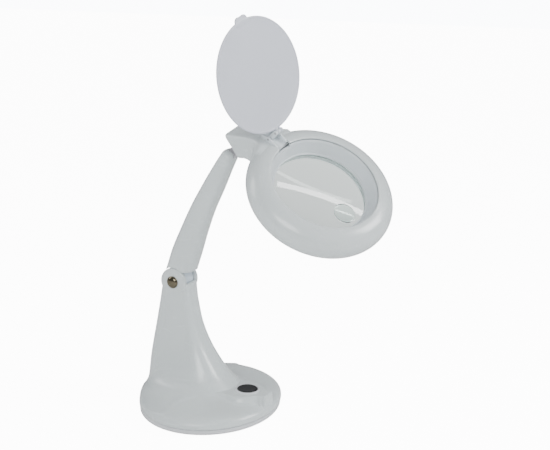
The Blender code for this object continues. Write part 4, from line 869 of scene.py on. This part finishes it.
lip_in = np.array([(58.15, 1.35), (58.15, 0.3), (58.4, -0.3)])
shell_profile = np.vstack([ring_arc(88, PARTING + 0.8, 72), ring_arc(PARTING, PARTING, 1, SEAM),
                           ring_arc(PARTING, 88, 60, WALL), lip_in[::-1]])
ring_shell = turned("ring_shell", shell_profile, 220, **IN_HEAD)
print("ring shell faces:", len(ring_shell.data.polygons))

# %% Hood behind the ring
HOOD_TOP = [(64.0, -1.9), (70.0, -1.4), (76.0, -1.3), (81.0, -2.6), (86.0, -4.8), (90.0, -7.0), (94.0, -9.6),
            (98.5, -12.9), (103.0, -16.4), (108.0, -20.5), (113.0, -24.6), (121.0, -30.9), (128.0, -36.4)]
HOOD_BASE = [(64.0, -19.0), (70.0, -28.0), (76.0, -34.0), (83.0, -36.4), (89.0, -40.4), (93.3, -44.6),
             (99.0, -50.0), (108.0, -58.0), (128.0, -74.0)]
HOOD_HALF, HOOD_AROUND, HOOD_ROWS, HOOD_SQUARE = 16.0, 160, 72, 9.0
FLARE, FLARE_FROM, FLARE_FADE, FLARE_POWER = 11.0, 73.0, 6.0, 1.3
MOUTH = [(121.0, -30.7), (93.3, -44.6)]


def hood_solid(name, inset, first, last):
    """Loft along y: rounded boxes between top and base lines, wider near the ring by an exponential."""
    y = np.linspace(first, last, HOOD_ROWS)[:, None]
    top = np.interp(y, *np.array(HOOD_TOP).T) - inset
    base = np.interp(y, *np.array(HOOD_BASE).T) + inset
    for line in (top, base):
        kernel = np.array([1.0, 2.0, 3.0, 2.0, 1.0]) / 9.0
        line[2:-2, 0] = np.convolve(line[:, 0], kernel, "valid")
    flare = FLARE * np.exp(-((np.maximum(y - FLARE_FROM, 0.0)) / FLARE_FADE) ** FLARE_POWER)
    half = HOOD_HALF + flare - inset
    angle = np.linspace(0, 2 * math.pi, HOOD_AROUND, endpoint=False)
    x = half * signed_power(np.cos(angle), 2 / HOOD_SQUARE)
    z = (top + base) / 2 + (top - base) / 2 * signed_power(np.sin(angle), 2 / HOOD_SQUARE)
    return skin(name, carried(np.stack([x, y + 0 * x, z], -1), **IN_HEAD))


def behind_mouth():
    """Cutter behind the sloped mouth plane, made by extruding its outline across."""
    (y0, z0), (y1, z1) = MOUTH
    run = np.array([y1 - y0, z1 - z0])
    run /= np.linalg.norm(run)
    outward_dir = np.array([-run[1], run[0]])
    outward_dir *= -np.sign(outward_dir @ np.array([-1.0, 1.0]))
    start, end = np.array(MOUTH[0]) - 30 * run, np.array(MOUTH[1]) + 60 * run
    outline = np.array([start, end, end + 70 * outward_dir, start + 70 * outward_dir])
    grid = np.stack([np.column_stack([np.full(4, x), outline]) for x in (-60.0, 60.0)])
    return skin("behind_mouth", carried(grid, **IN_HEAD))


hood = hood_solid("hood", 0.0, 68.0, 127.0)
carve(hood, behind_mouth())
carve(ring_shell, hood, "UNION")
print("ring and hood joined:", len(ring_shell.data.polygons), "faces")

# %% Hollow of the hood, pocket for the link, and clear room inside the ring
POCKET_FLOOR, POCKET_HALF, POCKET_BACK = -3.4, 8.9, 83.3
carve(ring_shell, hood_solid("hood_room", WALL, 69.5, 131.0))
room_outline = np.vstack([ring_arc(60, PARTING - 8.0, 40, WALL), [(50.0, -34.0), (50.0, -12.0)]])
carve(ring_shell, turned("ring_room", room_outline, 160, **IN_HEAD))
boss = block((-POCKET_HALF - 2.2, 60.0, POCKET_FLOOR - 2.4),
             (POCKET_HALF + 2.2, POCKET_BACK - 1.0, POCKET_FLOOR + 0.6), **IN_HEAD)
carve(ring_shell, boss, "UNION")
carve(ring_shell, block((-POCKET_HALF, 50.0, POCKET_FLOOR), (POCKET_HALF, POCKET_BACK, 14.0), **IN_HEAD))
below = ring_arc(PARTING, PARTING, 1)[0, 1]
under = turned("under_parting", [(96.0, below), (96.0, -70.0), (40.0, -70.0), (40.0, below)], 96, **IN_HEAD)
carve(under, block((-HOOD_HALF - 0.2, 70.0, -80.0), (HOOD_HALF + 0.2, 140.0, 20.0), **IN_HEAD))
carve(ring_shell, under)
dress(ring_shell, "head", "shell_white", "head_shell")
print("finished ring shell:", len(ring_shell.data.polygons), "faces")

# %% Lower ring, open where the hood passes
lower_profile = np.vstack([ring_arc(PARTING - 1.6, LIP, 22), ring_arc(LIP, PARTING - 1.2, 18, WALL)])
lower_ring = turned("ring_lower", lower_profile, 220, **IN_HEAD)
carve(lower_ring, block((-HOOD_HALF - 0.9, 60.0, -70.0), (HOOD_HALF + 0.9, 140.0, 10.0), **IN_HEAD))
dress(lower_ring, "head", "shell_white", "lower_ring")
print("lower ring faces:", len(lower_ring.data.polygons))

# %% [markdown]
# ## Lens and its seat
# Inside the opening a sloped ring leads down to the lens. It is a separate moulding in a cooler white.
# The lens is a shallow double dome, and its small stronger lens is set into a round well near the
# front. Both are lathed from arcs, because the eye sees at once when a lens is faceted.

# %% Recess ring, lenses and the ring that holds them
LENS_TOP, LENS_SEEN, LENS_R, LENS_EDGE, CROWN = -17.2, 50.0, 52.7, 3.2, 2.4
seat = LENS_TOP + 0.35
recess_outline = [(57.95, -0.2), (58.02, -4.0), (57.2, -13.0), (57.2, -25.0), (53.0, -25.0), (53.0, seat),
                  (LENS_SEEN, seat), (LENS_SEEN, seat + 1.5), (51.4, seat + 1.7), (56.2, -2.0)]
recess = turned("recess_cone", rounded_corners(recess_outline, 0.55, 6), 220, **IN_HEAD)
carve(recess, block((-POCKET_HALF, 50.0, POCKET_FLOOR), (POCKET_HALF, 70.0, 14.0), **IN_HEAD))
dress(recess, "head", "inner_white", "recess_ring")

INSET_R, INSET_Y, WELL_DEEP = 11.5, -34.5, 1.5


def dome_height(radius):
    """Height of the lens face above its rim: the crown, falling with the square of the radius."""
    return LENS_TOP + CROWN * (1 - (radius / (LENS_R - 1.2)) ** 2)


reach = np.linspace(0.02, LENS_R - 1.2, 24)
face_rows = np.stack([reach, dome_height(reach)], 1)
under_rows = np.stack([reach, 2 * (LENS_TOP - LENS_EDGE / 2) - dome_height(reach)], 1)
rim_rows = [(LENS_R - 0.3, LENS_TOP - 0.15), (LENS_R, LENS_TOP - 0.5), (LENS_R, LENS_TOP - LENS_EDGE + 0.5),
            (LENS_R - 0.3, LENS_TOP - LENS_EDGE + 0.15)]
lens = lathed("lens", np.vstack([face_rows, rim_rows, under_rows[::-1]]), 200, **IN_HEAD)
well_floor = dome_height(INSET_Y) - WELL_DEEP
carve(lens, rod(INSET_R + 0.3, (0, INSET_Y, well_floor), (0, INSET_Y, 0.0), steps=96, **IN_HEAD))
dress(lens, "head", "lens_clear", "main_lens")

reach = np.linspace(0.02, INSET_R - 0.5, 14)
inset_rows = np.stack([reach, well_floor + 1.7 + 1.3 * (1 - (reach / INSET_R) ** 2)], 1)[::-1]
inset_rows = np.vstack([[(0.02, well_floor + 0.3), (INSET_R - 0.2, well_floor + 0.3),
                         (INSET_R, well_floor + 0.5), (INSET_R, well_floor + 1.5)], inset_rows])
inset = lathed("inset_lens_dome", inset_rows, 96, basis=HEAD_BASIS,
               origin=HEAD_ORIGIN + HEAD_BASIS @ np.array([0, INSET_Y, 0]))
dress(inset, "head", "lens_clear", "inset_lens")
keeper_low = LENS_TOP - LENS_EDGE - 0.3
keeper_outline = [(52.6, keeper_low), (52.6, -25.3), (57.2, -25.3), (57.2, -27.0), (50.6, -27.0),
                  (50.6, keeper_low)]
keeper = turned("lens_keeper", rounded_corners(keeper_outline, 0.4, 4), 160, **IN_HEAD)
dress(keeper, "head", "shell_white", "lens_retainer")
print("lens crown height, mm:", round(float(dome_height(0.0) - LENS_TOP), 2))

# %% [markdown]
# ## Tube and reflector
# The tube is a round fluorescent lamp: an opal glass tube bent to most of a circle, with both ends in
# one cap. Its reflector is a thin pressed tray. They show only from below, yet they are what the lamp
# is for, so both are modelled with their true sections.

# %% Tube, cap and reflector
TUBE_RING, TUBE_R, TUBE_Z, TUBE_GAP = 66.5, 6.2, -23.6, math.radians(26.0)
path = np.linspace(math.pi / 2 + TUBE_GAP / 2, 2.5 * math.pi - TUBE_GAP / 2, 120)[:, None]
around = np.linspace(0, 2 * math.pi, 40, endpoint=False)
from_end = np.minimum(path - path[0], path[-1] - path) * TUBE_RING
thick = TUBE_R * np.sqrt(np.clip(1 - (1 - np.clip(from_end / 2.2, 0, 1)) ** 2, 0.3, 1))
radius = TUBE_RING + thick * np.cos(around)
tube = skin("ring_tube", carried(np.stack([radius * np.cos(path), radius * np.sin(path),
                                           TUBE_Z + thick * np.sin(around)], -1), **IN_HEAD))
dress(tube, "head", "tube_glass", "lamp_tube")
tray = [(57.7, -12.3), (61.6, -8.7), (66.0, -8.4), (70.2, -8.7), (74.8, -13.0), (76.0, -19.9), (75.3, -19.9),
        (74.0, -13.6), (69.8, -9.6), (66.0, -9.3), (62.0, -9.6), (58.2, -13.0)]
dress(turned("reflector_tray", tray, 160, **IN_HEAD), "head", "inner_white", "reflector")
cap_half = TUBE_RING * math.sin(TUBE_GAP / 2) - 2.4
cap_corners = [(-cap_half, 60.0), (cap_half, 60.0), (cap_half, 73.0), (-cap_half, 73.0)]
cap_piece = slab("tube_end_cap", rounded_corners(cap_corners, 1.8), TUBE_Z - 5.6, TUBE_Z + 6.4, 1.3,
                 **IN_HEAD)
dress(cap_piece, "head", "pan_white", "tube_cap")
print("tube length along its middle, mm:", round(float((path[-1, 0] - path[0, 0]) * TUBE_RING), 0))

# %% [markdown]
# ## Cover and its link
# The lens cover folds on a small link with two pins. Low rails on the head guide it, and the link is
# a block with windows for the ears of its neighbours. The cover is a thin disc with a raised rim and a
# thumb tab, whose edge dips in the middle so that it can be found without looking.

# %% Bracket, link and pins
RAIL_IN, RAIL_T, RAIL_Y0, RAIL_Y1, PIN_Y, PIN_Z = 6.4, 2.2, 61.0, 83.0, 74.6, 1.7
EAR_X, EAR_T, PIN_R, PIN_HOLE_R = 2.4, 1.4, 1.0, 1.3
floor_z = POCKET_FLOOR + 0.3


def side_plate(name, outline, x0, x1, basis, origin, edge=0.35):
    """Plate on a (y, z) outline between two x values, with softened edges."""
    turn = np.stack([basis[:, 1], basis[:, 2], basis[:, 0]], 1)
    return slab(name, np.asarray(outline)[:, :2], x0, x1, edge, turn, origin)


def fan(centre, radius, start, end, count=14):
    """Points on an arc about a centre, between two angles in degrees."""
    t = np.radians(np.linspace(start, end, count))
    return np.stack([centre[0] + radius * np.cos(t), centre[1] + radius * np.sin(t)], 1)


bracket = block((-RAIL_IN - RAIL_T, RAIL_Y0, floor_z), (RAIL_IN + RAIL_T, RAIL_Y1, floor_z + 1.0), **IN_HEAD)
bracket.name = "link_bracket"
rail_line = np.vstack([[(RAIL_Y0, floor_z), (RAIL_Y1, floor_z), (RAIL_Y1, PIN_Z)],
                       fan((PIN_Y, PIN_Z), 3.0, 40, 140),
                       [(RAIL_Y0 + 3.4, 2.5), (RAIL_Y0 + 1.2, 1.8), (RAIL_Y0, 0.4)]])
ear_line = np.vstack([fan((PIN_Y, PIN_Z), 2.2, 0, 180), [(PIN_Y - 2.2, floor_z), (PIN_Y + 2.2, floor_z)]])
for side in (-1, 1):
    x = sorted((side * RAIL_IN, side * (RAIL_IN + RAIL_T)))
    carve(bracket, side_plate("rail", rail_line, *x, **IN_HEAD), "UNION")
    x = (side * EAR_X - EAR_T / 2, side * EAR_X + EAR_T / 2)
    carve(bracket, side_plate("ear", ear_line, *x, **IN_HEAD, edge=0.2), "UNION")
carve(bracket, rod(PIN_HOLE_R, (-20, PIN_Y, PIN_Z), (20, PIN_Y, PIN_Z), steps=24, **IN_HEAD))
dress(bracket, "head", "inner_white", "hinge_bracket")

LINK_LENGTH, LINK_HALF, LINK_R, WINDOW = 11.4, 5.6, 2.6, 1.0
link_line = np.vstack([fan((0.0, 0.0), LINK_R, 180, 360, 20), fan((0.0, LINK_LENGTH), LINK_R, 0, 180, 20)])
link = side_plate("cover_link", link_line, -LINK_HALF, LINK_HALF, LINK_BASIS, LINK_LOW, 0.5)
window_spans = ((-5.0, 3.0), (LINK_LENGTH / 2 - 1.4, LINK_LENGTH / 2 + 1.4),
                (LINK_LENGTH - 3.0, LINK_LENGTH + 5.0))
for side in (-1, 1):
    for low, high in window_spans:
        carve(link, block((side * EAR_X - WINDOW, -5, low), (side * EAR_X + WINDOW, 5, high),
                          LINK_BASIS, LINK_LOW))
for height in (0.0, LINK_LENGTH):
    carve(link, rod(PIN_HOLE_R, (-20, 0, height), (20, 0, height), LINK_BASIS, LINK_LOW, 24))
dress(link, "link", "inner_white", "hinge_link")
low_pin = rod(PIN_R, (-RAIL_IN - RAIL_T, PIN_Y, PIN_Z), (RAIL_IN + RAIL_T, PIN_Y, PIN_Z), steps=28,
              name="low_pin", edge=0.25, **IN_HEAD)
dress(low_pin, "head", "steel", "link_pin_lower")
high_pin = rod(PIN_R, (-LINK_HALF, 0, LINK_LENGTH), (LINK_HALF, 0, LINK_LENGTH), LINK_BASIS, LINK_LOW,
               28, "high_pin", 0.25)
dress(high_pin, "link", "steel", "link_pin_upper")
print("link faces:", len(link.data.polygons))

# %% Cover disc, thumb tab and lugs
COVER_R, COVER_T, LUG = 59.6, 2.0, 3.6
middle = LUG + COVER_R
disc_turn = np.stack([COVER_BASIS[:, 0], COVER_BASIS[:, 2], -COVER_BASIS[:, 1]], 1)
disc_place = LINK_HIGH + COVER_BASIS @ np.array([0, 0, middle])
half = COVER_T / 2
rim = np.radians(np.linspace(-90, 90, 14))
edge_rows = np.stack([COVER_R - 0.8 + 0.8 * np.cos(rim), (half - 0.02) * np.sin(rim)], 1)
disc_rows = np.vstack([[(0.02, -half), (30.0, -half), (COVER_R - 3.0, -half)], edge_rows,
                       [(COVER_R - 1.9, half), (COVER_R - 2.4, half - 0.35), (COVER_R - 3.4, half - 0.45),
                        (30.0, half - 0.45), (0.02, half - 0.45)]])
cover = lathed("cover_disc", disc_rows, 240, disc_turn, disc_place, 30)
cover_top = middle + COVER_R
tab_line = soften([(-9.5, cover_top - 6.0), (9.5, cover_top - 6.0), (9.2, cover_top - 1.6),
                   (8.2, cover_top + 2.2), (5.0, cover_top + 4.3), (0.0, cover_top + 3.4),
                   (-5.0, cover_top + 4.3), (-8.2, cover_top + 2.2), (-9.2, cover_top - 1.6)], 2, True)
carve(cover, slab("tab", tab_line, -half + 0.1, half - 0.1, 0.4, disc_turn, LINK_HIGH), "UNION")
lug_line = np.vstack([fan((0.0, 0.0), 2.2, 180, 360), [(1.0, LUG + 3.0), (-1.0, LUG + 3.0)]])
for side in (-1, 1):
    x = (side * EAR_X - EAR_T / 2, side * EAR_X + EAR_T / 2)
    lug = side_plate("lug", lug_line, *x, COVER_BASIS, LINK_HIGH, 0.2)
    carve(cover, lug, "UNION")
carve(cover, rod(PIN_HOLE_R, (-20, 0, 0), (20, 0, 0), COVER_BASIS, LINK_HIGH, 24), sharp_deg=30)
dress(cover, "cover", "cover_white", "lens_cover")
print("cover is", round(2 * COVER_R, 1), "mm across")

# %% [markdown]
# ## Inner and small pieces
# The weight, pivot bolt, washers, screws, clips and the parts of the head joint are kept as they come
# from the model, since their shapes are already plain machined ones. Each takes the finish listed for
# it in the table below, so nothing in the lamp is left with a flat material.

# %% Finishes for the carried-over pieces
KEPT = {
    "iron": ["ballast_weight"],
    "grey_plastic": ["neck_bearing", "lamp_ballast"],
    "black_plastic": ["switch_body"],
    "black_rubber": ["cord_inlet", "friction_washer_left", "friction_washer_right", "neck_washer_left",
                     "neck_washer_right"],
    "pan_white": ["lamp_socket"],
    "steel": ["arm_tongue", "pivot_bolt", "neck_fork", "neck_pin", "stem_clip", "tube_clip_1", "tube_clip_2",
              "tube_clip_3", *[f"base_screw_{i}" for i in range(1, 5)],
              *[f"lens_screw_{i}" for i in range(1, 5)]],
}
for finish_name, names in KEPT.items():
    for name in names:
        kept = frame["nodes"][name]
        if not kept.material_slots:
            kept.data.materials.append(FINISH[finish_name])
        for holder in kept.material_slots:
            holder.material = FINISH[finish_name]
print("kept pieces:", sum(len(names) for names in KEPT.values()))
